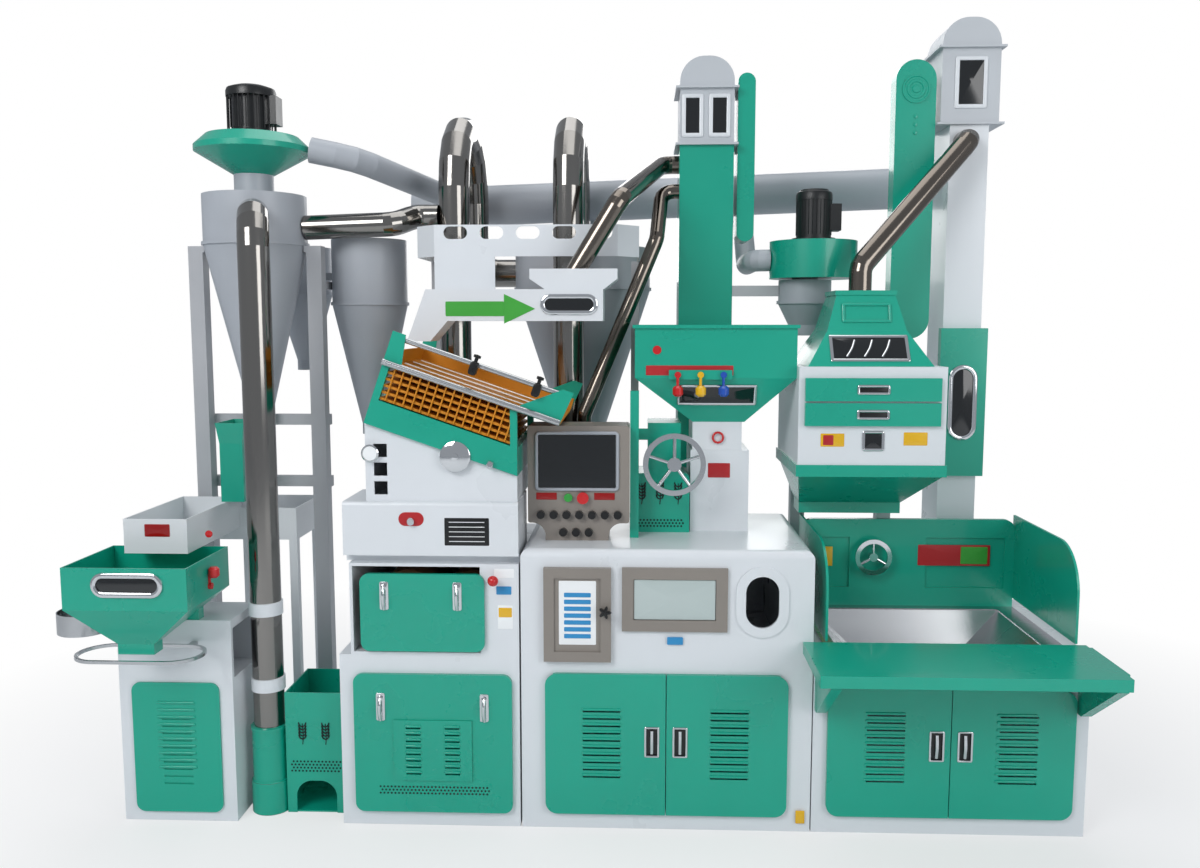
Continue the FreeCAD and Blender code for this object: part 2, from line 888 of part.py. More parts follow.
soften(
    control_housing,
    "panel_edge",
    lambda middle, run: abs(run.y) > 0.5 and min(abs(middle.x - side) for side in panel_sides) < 1,
)
button_holes = sketch(control_housing, "button_holes", "front", "-panel_front")
ring(button_holes, "button_radius + seat_gap", "start_middle", "button_height")
ring(button_holes, "button_radius + seat_gap", "stop_middle", "button_height")
pocket(control_housing, button_holes, "button_long + button_travel")

control_screen = block(
    "control_screen",
    "panel_left + screen_inset",
    "panel_left + screen_inset + screen_width",
    "panel_front - screen_thick",
    "panel_front",
    "screen_base",
    "screen_base + screen_height",
)


def selector(name, across, up):
    """A round selector switch on the panel's face."""
    grip = doc.addObject("Part::Prism", name)
    grip.Polygon = 12
    grip.Placement = FreeCAD.Placement(ORIGIN, FreeCAD.Rotation(*TURNS["y"]))
    bind(grip, Circumradius="selector_radius", Height="selector_long")
    return place(grip, across, "panel_front - selector_long", up)


selector_knobs = group(
    "selector_knobs",
    *[
        selector(f"selector_{index}", f"selector_left + {index} * selector_pitch", "selector_height")
        for index in range(SIZES["selector_count"])
    ],
    *[
        selector(f"low_selector_{index}", f"low_selector_left + {index} * selector_pitch", "low_selector_height")
        for index in range(3)
    ],
)
start_button = rod(
    "start_button", "button_radius", "button_long + button_travel", "start_middle",
    "panel_front - button_travel - 4", "button_height", "y",
)
stop_stem = rod(
    "stop_stem", "button_radius", "button_long", "stop_middle", "panel_front - button_travel - 2", "button_height", "y"
)
stop_cap = rod(
    "stop_cap", "stop_radius", "button_travel + 4", "stop_middle",
    "panel_front - 2 * button_travel - 6", "button_height", "y",
)
stop_button = fuse("stop_button", stop_stem, stop_cap)


# Mill column, guard over the milling rolls, upright bar and the mill's hopper.

column_right = "column_left + column_width"
column_back = "column_front + column_depth"
column_low = tube(
    "column_low", "column_left", column_right, "column_front", column_back, "mill_height", "column_step"
)
column_high = tube(
    "column_high",
    "column_left + column_shoulder / 4",
    f"{column_right} - column_shoulder",
    "column_front + column_shoulder / 4",
    f"{column_back} - column_shoulder",
    "column_step",
    "column_top",
)
column_shelf = block(
    "column_shelf", "column_left", column_right, "column_front", column_back,
    "column_step - sheet_wall", "column_step",
)
mill_column = fuse("mill_column", column_low, column_high, column_shelf)

guard_right = "guard_left + guard_width"
guard_body = body("guard_body")
guard_outline = sketch(guard_body, "guard_outline", "front", "-guard_front")
polygon(
    guard_outline,
    [
        ("guard_left", "mill_height"),
        (guard_right, "mill_height"),
        (guard_right, "guard_top"),
        ("collar_left + collar_width", "guard_top"),
        ("collar_left + collar_width", "collar_top"),
        ("collar_left", "collar_top"),
        ("collar_left", "guard_top"),
        ("guard_left", "guard_top"),
    ],
)
pad(guard_body, guard_outline, "guard_depth", inward=True)
guard_corners = (value("guard_left"), value(guard_right))
guard_height = value("guard_top")
soften(
    guard_body,
    "guard_edge",
    lambda middle, run: abs(run.y) > 0.5
    and abs(middle.z - guard_height) < 1
    and min(abs(middle.x - side) for side in guard_corners) < 1,
)
guard_hollow = sketch(guard_body, "guard_hollow", "front", "-guard_front - guard_depth / 2")
rectangle(
    guard_hollow, "guard_left + guard_edge", f"{guard_right} - guard_edge", "mill_height", "guard_top - guard_edge"
)
pocket(guard_body, guard_hollow, "guard_depth / 2")
wheel_bore = sketch(guard_body, "wheel_bore", "front", "-guard_front")
ring(wheel_bore, "wheel_shaft + running_fit", "wheel_middle", "wheel_height")
pocket(guard_body, wheel_bore, "guard_depth / 2")
bar_left = "panel_left + panel_width + slide_gap"
guard_bar = block(
    "guard_bar", bar_left, f"{bar_left} + bar_width", "bar_front", "bar_front + bar_depth", "mill_height", "bar_top"
)
guard_bridge = block(
    "guard_bridge", f"{bar_left} + bar_width", "collar_left", "guard_front",
    "guard_front + sheet_wall", "collar_top - 60", "collar_top - 20",
)
bar_bridge = block(
    "bar_bridge", bar_left, f"{bar_left} + bar_width", "bar_front + bar_depth",
    "guard_front + sheet_wall", "collar_top - 60", "collar_top - 20",
)
mill_guard = fuse("mill_guard", guard_body, guard_bar, guard_bridge, bar_bridge)

hopper_right = "hopper_left + hopper_width"
hopper_back = "hopper_front + hopper_depth"
hopper_rect = ("hopper_left", hopper_right, "hopper_front", hopper_back)
throat_rect = (
    "column_left + column_shoulder / 4",
    "column_left + column_shoulder / 4 + throat_width",
    "column_front + column_shoulder / 4",
    "column_front + column_shoulder / 4 + throat_depth",
)
hopper_box = tube("hopper_box", *hopper_rect, "hopper_waist", "hopper_rim")
hopper_funnel = chute("hopper_funnel", throat_rect, hopper_rect, "column_top", "hopper_waist")
hopper_lip_out = block(
    "hopper_lip_out", "hopper_left - 8", f"{hopper_right} + 8", "hopper_front - 8", f"{hopper_back} + 8",
    "hopper_rim - 12", "hopper_rim",
)
hopper_lip_in = block(
    "hopper_lip_in", "hopper_left + sheet_wall", f"{hopper_right} - sheet_wall",
    "hopper_front + sheet_wall", f"{hopper_back} - sheet_wall", "hopper_rim - 12", "hopper_rim",
)
hopper_lip = cut("hopper_lip", hopper_lip_out, hopper_lip_in)
lever_rail = block(
    "lever_rail", "lever_first - 30", "lever_first + 2 * lever_pitch + 30",
    "hopper_front - lever_stand", "hopper_front", "lever_height - 16", "lever_height + 16",
)
mill_hopper = fuse("mill_hopper", hopper_box, hopper_funnel, hopper_lip, lever_rail)


def lever(name, place_in_row):
    """A feed lever: a pivot boss, a short rod that hangs from it and a ball."""
    across = f"lever_first + {place_in_row} * lever_pitch"
    face = "hopper_front - lever_stand - seat_gap"
    boss = rod(name + "_boss", "lever_pivot", "lever_pivot", across, f"{face} - lever_pivot", "lever_height", "y")
    middle = f"{face} - lever_pivot / 2"
    stem = rod(name + "_stem", "lever_rod", "lever_length", across, middle, "lever_height - lever_length")
    grip = knob(name + "_knob", "lever_ball", across, f"{face} - lever_ball", "lever_height - lever_length - lever_ball / 2")
    return fuse(name, boss, stem, grip)


lever_red = lever("lever_red", 0)
lever_yellow = lever("lever_yellow", 1)
lever_blue = lever("lever_blue", 2)


# Handwheels.

def handwheel(name, radius, rim, hub, shaft, spokes, across, front, up, reach):
    """A rim on spokes and a hub, with a shaft that runs back from it."""
    section = [
        (f"{radius} - {rim}", f"-{rim}"),
        (f"{radius} + {rim}", f"-{rim}"),
        (f"{radius} + {rim}", rim),
        (f"{radius} - {rim}", rim),
    ]
    rim_ring = turned(name + "_rim", across, front, section, up, "y")
    centre = rod(name + "_hub", hub, f"2 * {rim}", across, f"{front} - {rim}", up, "y")
    axle = rod(name + "_shaft", shaft, reach, across, front, up, "y")
    arms = []
    for index in range(spokes):
        turn = 360 * index / spokes
        arm = doc.addObject("Part::Cylinder", f"{name}_spoke_{index}")
        bind(arm, Radius="spoke_radius", Height=radius)
        arm.Placement = FreeCAD.Placement(ORIGIN, FreeCAD.Rotation(Y_AXIS, turn))
        arms.append(place(arm, across, front, up))
    return fuse(name, rim_ring, centre, axle, *arms)


mill_handwheel = handwheel(
    "mill_handwheel", "wheel_radius", "wheel_rim", "wheel_hub", "wheel_shaft", 5,
    "wheel_middle", "wheel_front", "wheel_height", "guard_front - wheel_front + guard_depth / 2 - 2",
)
intake_handwheel = handwheel(
    "intake_handwheel", "small_wheel_radius", "small_wheel_rim", "wheel_hub / 1.5", "wheel_shaft", 3,
    "small_wheel_middle", "back_plane - small_wheel_stand", "small_wheel_height",
    "small_wheel_stand + back_thick / 2",
)


# Huller: lower cabinet, upper cabinet round the rubber rolls, head box, and two lift-off panels.

huller_right = "huller_left + huller_width"
husk_right = "husk_left + husk_width"
up_panel_right = "up_panel_left + up_panel_width"
up_panel_top = "up_panel_base + up_panel_height"

huller_lower_cabinet = body("huller_lower_cabinet")
lower_outline = sketch(huller_lower_cabinet, "lower_outline", "front", BACK)
rectangle(lower_outline, "huller_left", huller_right, 0, "huller_height")
pad(huller_lower_cabinet, lower_outline, "cab_depth", inward=True)
lower_bay = sketch(huller_lower_cabinet, "lower_bay", "front", BACK)
rectangle(
    lower_bay,
    "low_panel_left + panel_lap",
    "low_panel_left + low_panel_width - panel_lap",
    "low_panel_base + panel_lap",
    "low_panel_base + low_panel_height - panel_lap",
)
pocket(huller_lower_cabinet, lower_bay, "cab_depth - sheet_wall")

huller_upper_cabinet = body("huller_upper_cabinet")
upper_outline = sketch(huller_upper_cabinet, "upper_outline", "front", BACK)
rectangle(upper_outline, "husk_left", husk_right, "huller_height", "husk_top")
pad(huller_upper_cabinet, upper_outline, "cab_depth", inward=True)
roll_room = sketch(huller_upper_cabinet, "roll_room", "front", BACK)
rectangle(
    roll_room,
    "husk_left + 2 * sheet_wall",
    f"{husk_right} - 2 * sheet_wall",
    "huller_height + 2 * sheet_wall",
    "husk_top - 2 * sheet_wall",
)
pocket(huller_upper_cabinet, roll_room, "cab_depth - 4 * sheet_wall")
stile = sketch(huller_upper_cabinet, "front_stile", "front", BACK)
rectangle(stile, f"{up_panel_right} - panel_lap", husk_right, "huller_height", "husk_top")
pad(huller_upper_cabinet, stile, "2 * sheet_wall", inward=True)
roll_gap = "roll_radius + roll_nip / 2"
roll_bores = sketch(huller_upper_cabinet, "roll_bores", "front", BACK)
ring(roll_bores, "roll_shaft + running_fit", f"roll_middle - ({roll_gap})", "roll_height")
ring(roll_bores, "roll_shaft + running_fit", f"roll_middle + {roll_gap}", "roll_height")
pocket(huller_upper_cabinet, roll_bores, "cab_depth")


def roll(name, across):
    """A rubber-covered hulling roll with a bored end and its shaft, which runs back into its bearing."""
    profile = [
        ("0", "0"),
        ("roll_radius - 30", "0"),
        ("roll_radius - 30", "-20"),
        ("roll_radius", "-20"),
        ("roll_radius", "roll_width - 20"),
        ("roll_shaft", "roll_width - 20"),
        ("roll_shaft", f"{BACK} - roll_front - sheet_wall"),
        ("0", f"{BACK} - roll_front - sheet_wall"),
    ]
    return turned(name, across, "roll_front", profile, "roll_height", "y")


fixed_roll = roll("fixed_roll", f"roll_middle - ({roll_gap})")
moving_roll = roll("moving_roll", f"roll_middle + {roll_gap}")


def panel(name, left, width, base, height):
    """A pressed lift-off panel with rounded corners, open behind."""
    owner = body(name)
    face = sketch(owner, name + "_face", "front", f"{BACK} + seat_gap")
    rectangle(face, left, f"{left} + {width}", base, f"{base} + {height}")
    pad(owner, face, "panel_thick")
    sides = (value(left), value(f"{left} + {width}"))
    on_edge = lambda middle, run: abs(run.y) > 0.5 and min(abs(middle.x - side) for side in sides) < 1
    soften(owner, "panel_round", on_edge)
    hollow = sketch(owner, name + "_hollow", "front", f"{BACK} + seat_gap + panel_thick - door_skin")
    rectangle(
        hollow, f"{left} + panel_round / 3", f"{left} + {width} - panel_round / 3",
        f"{base} + panel_round / 3", f"{base} + {height} - panel_round / 3",
    )
    pocket(owner, hollow, "panel_thick")
    return owner


huller_panel_upper = panel("huller_panel_upper", "up_panel_left", "up_panel_width", "up_panel_base", "up_panel_height")
huller_panel_lower = panel("huller_panel_lower", "low_panel_left", "low_panel_width", "low_panel_base", "low_panel_height")
raised_middle = "low_panel_left + low_panel_width / 2"
raised_square = sketch(huller_panel_lower, "raised_square", "front", f"{BACK} + seat_gap + panel_thick")
rectangle(
    raised_square, f"{raised_middle} - raised_square / 2", f"{raised_middle} + raised_square / 2",
    "raised_base", "raised_base + raised_height",
)
pad(huller_panel_lower, raised_square, "ring_raise")
for side, shift in (("left", "-"), ("right", "+")):
    vent = sketch(huller_panel_lower, f"vent_{side}", "front", f"{BACK} + seat_gap + panel_thick + ring_raise")
    vent_middle = f"{raised_middle} {shift} raised_square / 4"
    rectangle(
        vent, f"{vent_middle} - louvre_width / 5", f"{vent_middle} + louvre_width / 5",
        "raised_base + pull_inset", "raised_base + pull_inset + louvre_slot",
    )
    first_vent = pocket(huller_panel_lower, vent, "ring_raise + door_skin + 1")
    rows(huller_panel_lower, first_vent, vent, "V_Axis", "louvre_pitch * 0.9", "louvre_count - 2")

head_right = "head_left + head_width"
head_front = f"{FRONT}"
head_body = body("head_body")
head_outline = sketch(head_body, "head_outline", "side", "head_left")
head_top = "head_base + head_height"
polygon(
    head_outline,
    [
        (f"{FRONT} + head_neck", "husk_top"),
        (f"{FRONT} + head_depth", "husk_top"),
        (f"{FRONT} + head_depth", head_top),
        (FRONT, head_top),
        (FRONT, "head_base"),
        (f"{FRONT} + head_neck", "head_base"),
    ],
)
pad(head_body, head_outline, "head_width")
head_roof = value(head_top)
front_face = value(FRONT)
soften(
    head_body,
    "head_edge",
    lambda middle, run: abs(run.x) > 0.5 and abs(middle.z - head_roof) < 1 and abs(middle.y - front_face) < 1,
)
head_hollow = sketch(head_body, "head_hollow", "side", "head_left + head_width - sheet_wall")
rectangle(
    head_hollow, f"{FRONT} + head_neck + sheet_wall", f"{FRONT} + head_depth - sheet_wall",
    "husk_top + sheet_wall", f"{head_top} - 2 * sheet_wall",
)
pocket(head_body, head_hollow, "head_width - 2 * sheet_wall")
huller_head_box = head_body


# Separator base: a sheet frame whose top runs parallel to the tilted case, a seat gap below it.

base_right = "base_left + base_width"
base_back = "base_front + base_depth"
slope = "tan(sep_tilt * 1)"


def under_case(across):
    """The height of the base's top at one place across, a seat gap below the case."""
    fall = math.tan(math.radians(SIZES["sep_tilt"]))
    return f"sep_height - seat_gap * 1.2 - ({across} - sep_left) * {fall}"


base_floor = "head_base + head_height"
separator_base = body("separator_base")
base_outline = sketch(separator_base, "base_outline", "front", "-base_front")
polygon(
    base_outline,
    [
        ("base_left", base_floor),
        (base_right, base_floor),
        (base_right, under_case(base_right)),
        ("base_left", under_case("base_left")),
    ],
)
pad(separator_base, base_outline, "base_depth", inward=True)
base_hollow = sketch(separator_base, "base_hollow", "front", "-base_front - sheet_wall")
polygon(
    base_hollow,
    [
        ("base_left + sheet_wall", f"{base_floor} + sheet_wall"),
        (f"{base_right} - sheet_wall", f"{base_floor} + sheet_wall"),
        (f"{base_right} - sheet_wall", f"{under_case(base_right)} - 2 * sheet_wall"),
        ("base_left + sheet_wall", f"{under_case('base_left')} - 2 * sheet_wall"),
    ],
)
pocket(separator_base, base_hollow, "base_depth - 2 * sheet_wall")
side_windows = sketch(separator_base, "side_windows", "front", "-base_front")
for index in range(3):
    low = f"{base_floor} + 22 + {index} * 62"
    rectangle(side_windows, "base_left + 28", "base_left + 28 + slot_wide", low, f"{low} + slot_wide")
pocket(separator_base, side_windows, "sheet_wall + 1")
base_foot_one = block(
    "base_foot_one", f"{base_right} - 120", f"{base_right} - 60", f"{base_back} - 60", base_back, "husk_top", base_floor
)
base_foot_two = block(
    "base_foot_two", "base_left + 60", "base_left + 120", f"{base_back} - 60", base_back, "husk_top", base_floor
)
separator_base = fuse("separator_base_frame", separator_base, base_foot_one, base_foot_two)


# Separator case, decks and rail share one tilted frame: x runs down the slope and z out of it.

def tilted(name, *pieces):
    """Pieces drawn level, turned and moved together onto the slope."""
    joined = group(name, *pieces)
    joined.Placement = FreeCAD.Placement(ORIGIN, FreeCAD.Rotation(Y_AXIS, 1))
    joined.setExpression("Placement.Rotation.Angle", cells("sep_tilt"))
    return place(joined, "sep_left", "sep_front", "sep_height")


deck_low = "sep_beam + 4"
lean = math.tan(math.radians(SIZES["sep_tilt"]))


def case_end(level):
    """The place of the case's upright far end, at one height above the case's floor."""
    return f"sep_length - ({level}) * {lean}"


def sloped(name, near, low, high, front, back, shorter=0):
    """A slab whose near end is square and whose far end stands upright once the case is tilted."""
    owner = body(name)
    outline = sketch(owner, name + "_outline", "front", f"-({front})")
    polygon(
        outline,
        [
            (near, low),
            (f"{case_end(low)} - ({shorter})", low),
            (f"{case_end(high)} - ({shorter})", high),
            (near, high),
        ],
    )
    pad(owner, outline, f"({back}) - ({front})", inward=True)
    return owner


case_beam = sloped("case_beam", 0, 0, "sep_beam", 0, "sep_depth")
beam_hollow = sketch(case_beam, "beam_hollow", "front", "-sheet_wall")
polygon(
    beam_hollow,
    [
        ("sheet_wall", "sheet_wall"),
        (f"{case_end(0)} - 2 * sheet_wall", "sheet_wall"),
        (f"{case_end('sep_beam')} - 2 * sheet_wall", "sep_beam - sheet_wall"),
        ("sheet_wall", "sep_beam - sheet_wall"),
    ],
)
pocket(case_beam, beam_hollow, "sep_depth - 2 * sheet_wall")
case_parts = [case_beam]
for index, front in enumerate((0, "sep_depth - sep_post")):
    case_parts.append(
        block(f"near_post_{index}", 0, "sep_post", front, f"{front} + sep_post", "sep_beam", "sep_case_top")
    )
    far_post = body(f"far_post_{index}")
    far_outline = sketch(far_post, f"far_post_outline_{index}", "front", f"-({front})")
    polygon(
        far_outline,
        [
            (f"{case_end('sep_beam')} - sep_post", "sep_beam"),
            (case_end("sep_beam"), "sep_beam"),
            (case_end("sep_case_top"), "sep_case_top"),
            (f"{case_end('sep_case_top')} - sep_post", "sep_case_top"),
        ],
    )
    pad(far_post, far_outline, "sep_post", inward=True)
    case_parts.append(far_post)
for index, front in enumerate((0, "sep_depth - sep_cheek")):
    cheek_outlines = (
        (0, "sep_post + 40", "sep_post + 20", 0),
        (f"{case_end('sep_case_top')} - sep_post", "sep_tray_length", "sep_tray_length + 12", "sep_tray_length - 24"),
    )
    for end, (low_left, low_right, high_right, high_left) in enumerate(cheek_outlines):
        cheek_plate = body(f"case_cheek_{index}_{end}")
        cheek_outline = sketch(cheek_plate, f"case_cheek_outline_{index}_{end}", "front", f"-({front})")
        polygon(
            cheek_outline,
            [
                (low_left, "sep_case_top"),
                (low_right, "sep_case_top"),
                (high_right, "sep_rod_height + 18"),
                (high_left, "sep_rod_height + 18"),
            ],
        )
        pad(cheek_plate, cheek_outline, "sep_cheek", inward=True)
        case_parts.append(cheek_plate)
separator_case = tilted("separator_case", fuse("case_shell", *case_parts))

deck_parts = []
for index in range(SIZES["sep_deck_count"]):
    low = f"{deck_low} + {index} * sep_deck_pitch"
    deck_parts.append(
        sloped(
            f"deck_{index}", "sep_post", low, f"{low} + sep_deck_thick", "sep_cheek + 2", "sep_depth - sep_cheek - 2", "sep_post"
        )
    )
tray_floor = block(
    "tray_floor", "sep_post / 2", "sep_tray_length", "sep_cheek", "sep_depth - sep_cheek",
    "sep_case_top", "sep_case_top + sep_deck_thick",
)
tray_back = block(
    "tray_back", "sep_post / 2", "sep_tray_length", "sep_depth - sep_cheek - 4", "sep_depth - sep_cheek",
    "sep_case_top + sep_deck_thick", "sep_case_top + sep_tray_rim * 2",
)
tray_end = block(
    "tray_end", "sep_post / 2", "sep_post / 2 + 4", "sep_cheek", "sep_depth - sep_cheek - 4",
    "sep_case_top + sep_deck_thick", "sep_case_top + sep_tray_rim * 2",
)
separator_decks = tilted("separator_decks", *deck_parts, fuse("feed_tray", tray_floor, tray_back, tray_end))

rail_parts = []
for index, front in enumerate(("-sep_tube_radius", "sep_depth + sep_tube_radius")):
    rail_parts.append(
        rod(f"rail_tube_{index}", "sep_tube_radius", "sep_tray_length", 0, front, "sep_case_top + sep_tube_radius", "x")
    )
rail_parts.append(rod("rail_rod", "sep_rod_radius", "sep_tray_length", 0, "sep_cheek + sep_rod_radius", "sep_rod_height", "x"))
separator_rail = tilted("separator_rail", *rail_parts)


# Feed chute and lattice frame.

chute_back = "chute_front + chute_depth"
feed_body = body("feed_body")
feed_outline = sketch(feed_body, "feed_outline", "front", "-chute_front")
polygon(
    feed_outline,
    [
        ("chute_left", "chute_low"),
        ("chute_left + 80", "chute_low"),
        ("chute_left + 140", "chute_base"),
        ("chute_right", "chute_base"),
        ("chute_right", "chute_top"),
        ("chute_left + 66", "chute_top"),
    ],
)
pad(feed_body, feed_outline, "chute_depth", inward=True)
feed_hollow = sketch(feed_body, "feed_hollow", "front", "-chute_front - sheet_wall")
polygon(
    feed_hollow,
    [
        ("chute_left + 2 * sheet_wall", "chute_low - 1"),
        ("chute_left + 80 - 2 * sheet_wall", "chute_low - 1"),
        ("chute_left + 140 - sheet_wall", "chute_base + sheet_wall"),
        ("chute_right - sheet_wall", "chute_base + sheet_wall"),
        ("chute_right - sheet_wall", "chute_top - sheet_wall"),
        ("chute_left + 70", "chute_top - sheet_wall"),
    ],
)
pocket(feed_body, feed_hollow, "chute_depth - 2 * sheet_wall")
tray_rect = ("chute_tray_left", "chute_tray_right", "chute_front + 10", f"{chute_back} - 10")
neck_rect = ("chute_tray_left + 52", "chute_tray_right - 46", "chute_front + 10", f"{chute_back} - 10")
feed_tray = chute("feed_tray_funnel", neck_rect, tray_rect, "chute_top", "chute_tray_top - 34")
feed_lip = tube("feed_lip", *tray_rect, "chute_tray_top - 34", "chute_tray_top")
chute_leg = tube(
    "chute_leg", "base_left + 150", "base_left + 210", "chute_front + chute_depth - 60", chute_back,
    "head_base + head_height", "chute_base",
)
feed_chute = fuse("feed_chute", feed_body, feed_tray, feed_lip)

lattice_inner = "lattice_left + lattice_bevel"
panel_right = f"{lattice_inner} + lattice_panel"
lattice_frame = body("lattice_frame")
lattice_outline = sketch(lattice_frame, "lattice_outline", "top", "lattice_top - lattice_band")
polygon(
    lattice_outline,
    [
        ("lattice_left", "lattice_front + lattice_bevel"),
        (lattice_inner, "lattice_front"),
        ("lattice_right - lattice_bevel", "lattice_front"),
        ("lattice_right", "lattice_front + lattice_bevel"),
        ("lattice_right", "lattice_front + lattice_depth"),
        ("lattice_right - lattice_wall", "lattice_front + lattice_depth"),
        ("lattice_right - lattice_wall", "lattice_front + lattice_bevel + lattice_wall / 2"),
        ("lattice_right - lattice_bevel - lattice_wall / 2", "lattice_front + lattice_wall"),
        (f"{lattice_inner} + lattice_wall / 2", "lattice_front + lattice_wall"),
        ("lattice_left + lattice_wall", "lattice_front + lattice_bevel + lattice_wall / 2"),
        ("lattice_left + lattice_wall", "lattice_front + lattice_depth"),
        ("lattice_left", "lattice_front + lattice_depth"),
    ],
)
pad(lattice_frame, lattice_outline, "lattice_band")
drop_panel = sketch(lattice_frame, "drop_panel", "front", "-lattice_front")
rectangle(drop_panel, lattice_inner, panel_right, "lattice_top - lattice_drop", "lattice_top - lattice_band / 2")
pad(lattice_frame, drop_panel, "lattice_wall", inward=True)
for name, level, count, start in (
    ("high_slots", "lattice_top - lattice_band / 4", 5, f"{lattice_inner} + slot_long * 0.9"),
    ("low_slots", "lattice_top - lattice_drop + slot_wide", 1, f"{lattice_inner} + slot_long * 0.9"),
):
    slots = sketch(lattice_frame, name, "front", "-lattice_front")
    for index in range(count):
        stadium(slots, "slot_wide / 2", "slot_long - slot_wide", f"{start} + {index} * slot_pitch", level, upright=False)
    pocket(lattice_frame, slots, "lattice_wall + 1")


# Polished suction pipes: two goosenecks over the lattice frame, the riser on the left and a cross pipe.

goose_rise, goose_back = "goose_straight + goose_bend", "goose_front + 2 * goose_bend"


def goose_points(across, foot, *tail):
    """A pipe that rises from a cabinet's top, bends back through half a turn and comes down again."""
    rising = [(across, "goose_front", foot), (across, "goose_front", goose_rise), (across, goose_back, goose_rise)]
    return rising + list(tail)


inlet_level = "husk_cyclone_waist + goose_radius + 20"
side_inlet = "husk_cyclone_x - sqrt(husk_cyclone_radius ^ 2 - (goose_front + 2 * goose_bend - husk_cyclone_y) ^ 2)"
left_goose = goose_points(
    "goose_left", "husk_top", ("goose_left", goose_back, inlet_level), (side_inlet + " - 22", goose_back, inlet_level)
)
right_goose = goose_points("goose_right", "mill_height", ("goose_right", goose_back, "husk_cyclone_top"))
riser_reach = "(left_cyclone_radius + riser_gap) / sqrt((riser_x - left_cyclone_x) ^ 2 + (riser_y - left_cyclone_y) ^ 2)"
riser_spots = [
    ("riser_x", "riser_y", "cup_height"),
    ("riser_x", "riser_y", "riser_top"),
    (
        f"left_cyclone_x + (riser_x - left_cyclone_x) * {riser_reach}",
        f"left_cyclone_y + (riser_y - left_cyclone_y) * {riser_reach}",
        "riser_top + 10",
    ),
]
cross_spots = [
    ("left_cyclone_x + left_cyclone_radius + 2", "left_cyclone_y", "cross_z"),
    ("mid_cyclone_x + mid_cyclone_radius", "left_cyclone_y", "cross_z + 12"),
    ("goose_left - goose_radius - 90", "goose_front", "lattice_top + cross_radius + 12"),
    ("goose_left - goose_radius - seat_gap", "goose_front", "lattice_top + cross_radius + 12"),
]
suction_pipes = group(
    "suction_pipes",
    pipe("goose_pipe_left", left_goose, "goose_radius", "goose_bend", "goose_bend", "goose_radius * 1.6"),
    pipe("goose_pipe_right", right_goose, "goose_radius", "goose_bend"),
    fuse(
        "riser_run",
        pipe("riser_pipe", riser_spots, "riser_radius", "riser_bend"),
        rod("riser_socket", "socket_radius", "socket_top - cup_height", "riser_x", "riser_y", "cup_height"),
        rod("riser_cup", "cup_radius", "cup_height", "riser_x", "riser_y", 0),
    ),
    pipe("cross_pipe", cross_spots, "cross_radius", "cross_radius * 1.2"),
)


# Centre elevator: trunk from the floor, head box with a round-topped hood, spouts and belt guard.

lift_left, lift_right = "lift_x - lift_width / 2", "lift_x + lift_width / 2"
lift_back = "lift_front + lift_depth"
centre_elevator = group(
    "centre_elevator",
    fuse(
        "lift_trunk",
        tube("lift_tube", lift_left, lift_right, "lift_front", lift_back, 0, "lift_top"),
        block(
            "lift_foot", f"{lift_left} - 20", f"{lift_right} + 20", "lift_front - 8", f"{lift_back} + 20", 0, "sheet_wall * 4"
        ),
    ),
)


def elevator_head(name, left, right, front, back, base, box_top, hood_top):
    """A flanged head box closed by a hood with a round top."""
    owner = body(name)
    outline = sketch(owner, name + "_outline", "front", f"-({front})")
    rectangle(outline, left, right, f"{base} + lift_flange_thick", hood_top)
    pad(owner, outline, f"({back}) - ({front})", inward=True)
    roof = value(hood_top)
    radius = f"(({right}) - ({left})) * 0.45"
    soften(owner, radius, lambda middle, run: abs(run.y) > 0.5 and abs(middle.z - roof) < 1)
    for level, place_name in ((base, "low"), (box_top, "high")):
        flange = sketch(owner, f"{name}_flange_{place_name}", "top", level)
        rectangle(
            flange, f"{left} - lift_flange", f"{right} + lift_flange", f"{front} - lift_flange", f"{back} + lift_flange"
        )
        pad(owner, flange, "lift_flange_thick")
    return owner


centre_elevator_head = elevator_head(
    "centre_elevator_head", lift_left, lift_right, "lift_front", lift_back, "lift_top", "lift_head_top", "lift_hood_top"
)
right_left, right_right = "right_x - right_width / 2", "right_x + right_width / 2"
right_back = "lift_front + lift_depth"
right_trunk = tube("right_trunk", right_left, right_right, "lift_front", right_back, 0, "right_top")
right_foot = block(
    "right_foot", f"{right_left} - 20", f"{right_right} + 20", "lift_front - 8", f"{right_back} + 20", 0, "sheet_wall * 4"
)
boot_cover = body("boot_cover")
boot_outline = sketch(boot_cover, "boot_outline", "front", "-lift_front")
rectangle(boot_outline, "right_x - boot_width / 2", "right_x + boot_width / 2", "boot_base", "boot_top")
pad(boot_cover, boot_outline, "boot_proud")
right_elevator = group("right_elevator", fuse("right_trunk_frame", right_trunk, right_foot))
right_elevator_head = elevator_head(
    "right_elevator_head", "right_x - right_head_width / 2", "right_x + right_head_width / 2",
    "lift_front", right_back, "right_top", "right_head_top", "right_hood_top",
)


def belt_guard(name, left, width, base, top, front, back):
    """A flat closed guard with round ends over a drive belt."""
    owner = body(name)
    outline = sketch(owner, name + "_outline", "front", f"-({front})")
    middle = f"{left} + {width} / 2"
    stadium(outline, f"{width} / 2", f"{top} - {base} - {width}", middle, f"({base} + {top}) / 2")
    pad(owner, outline, f"{back} - {front}", inward=True)
    return owner


belt_guards = group(
    "belt_guards",
    belt_guard(
        "centre_belt_guard", f"{lift_right} + lift_flange", "belt_width", "belt_base", "belt_top",
        "lift_front + 30", "lift_front + 100",
    ),
    belt_guard(
        "right_belt_guard", "right_x - right_head_width / 2 - lift_flange - right_belt_width", "right_belt_width",
        "right_belt_base", "right_belt_top", "lift_front + 10", "lift_front + 70",
    ),
    boot_cover,
)

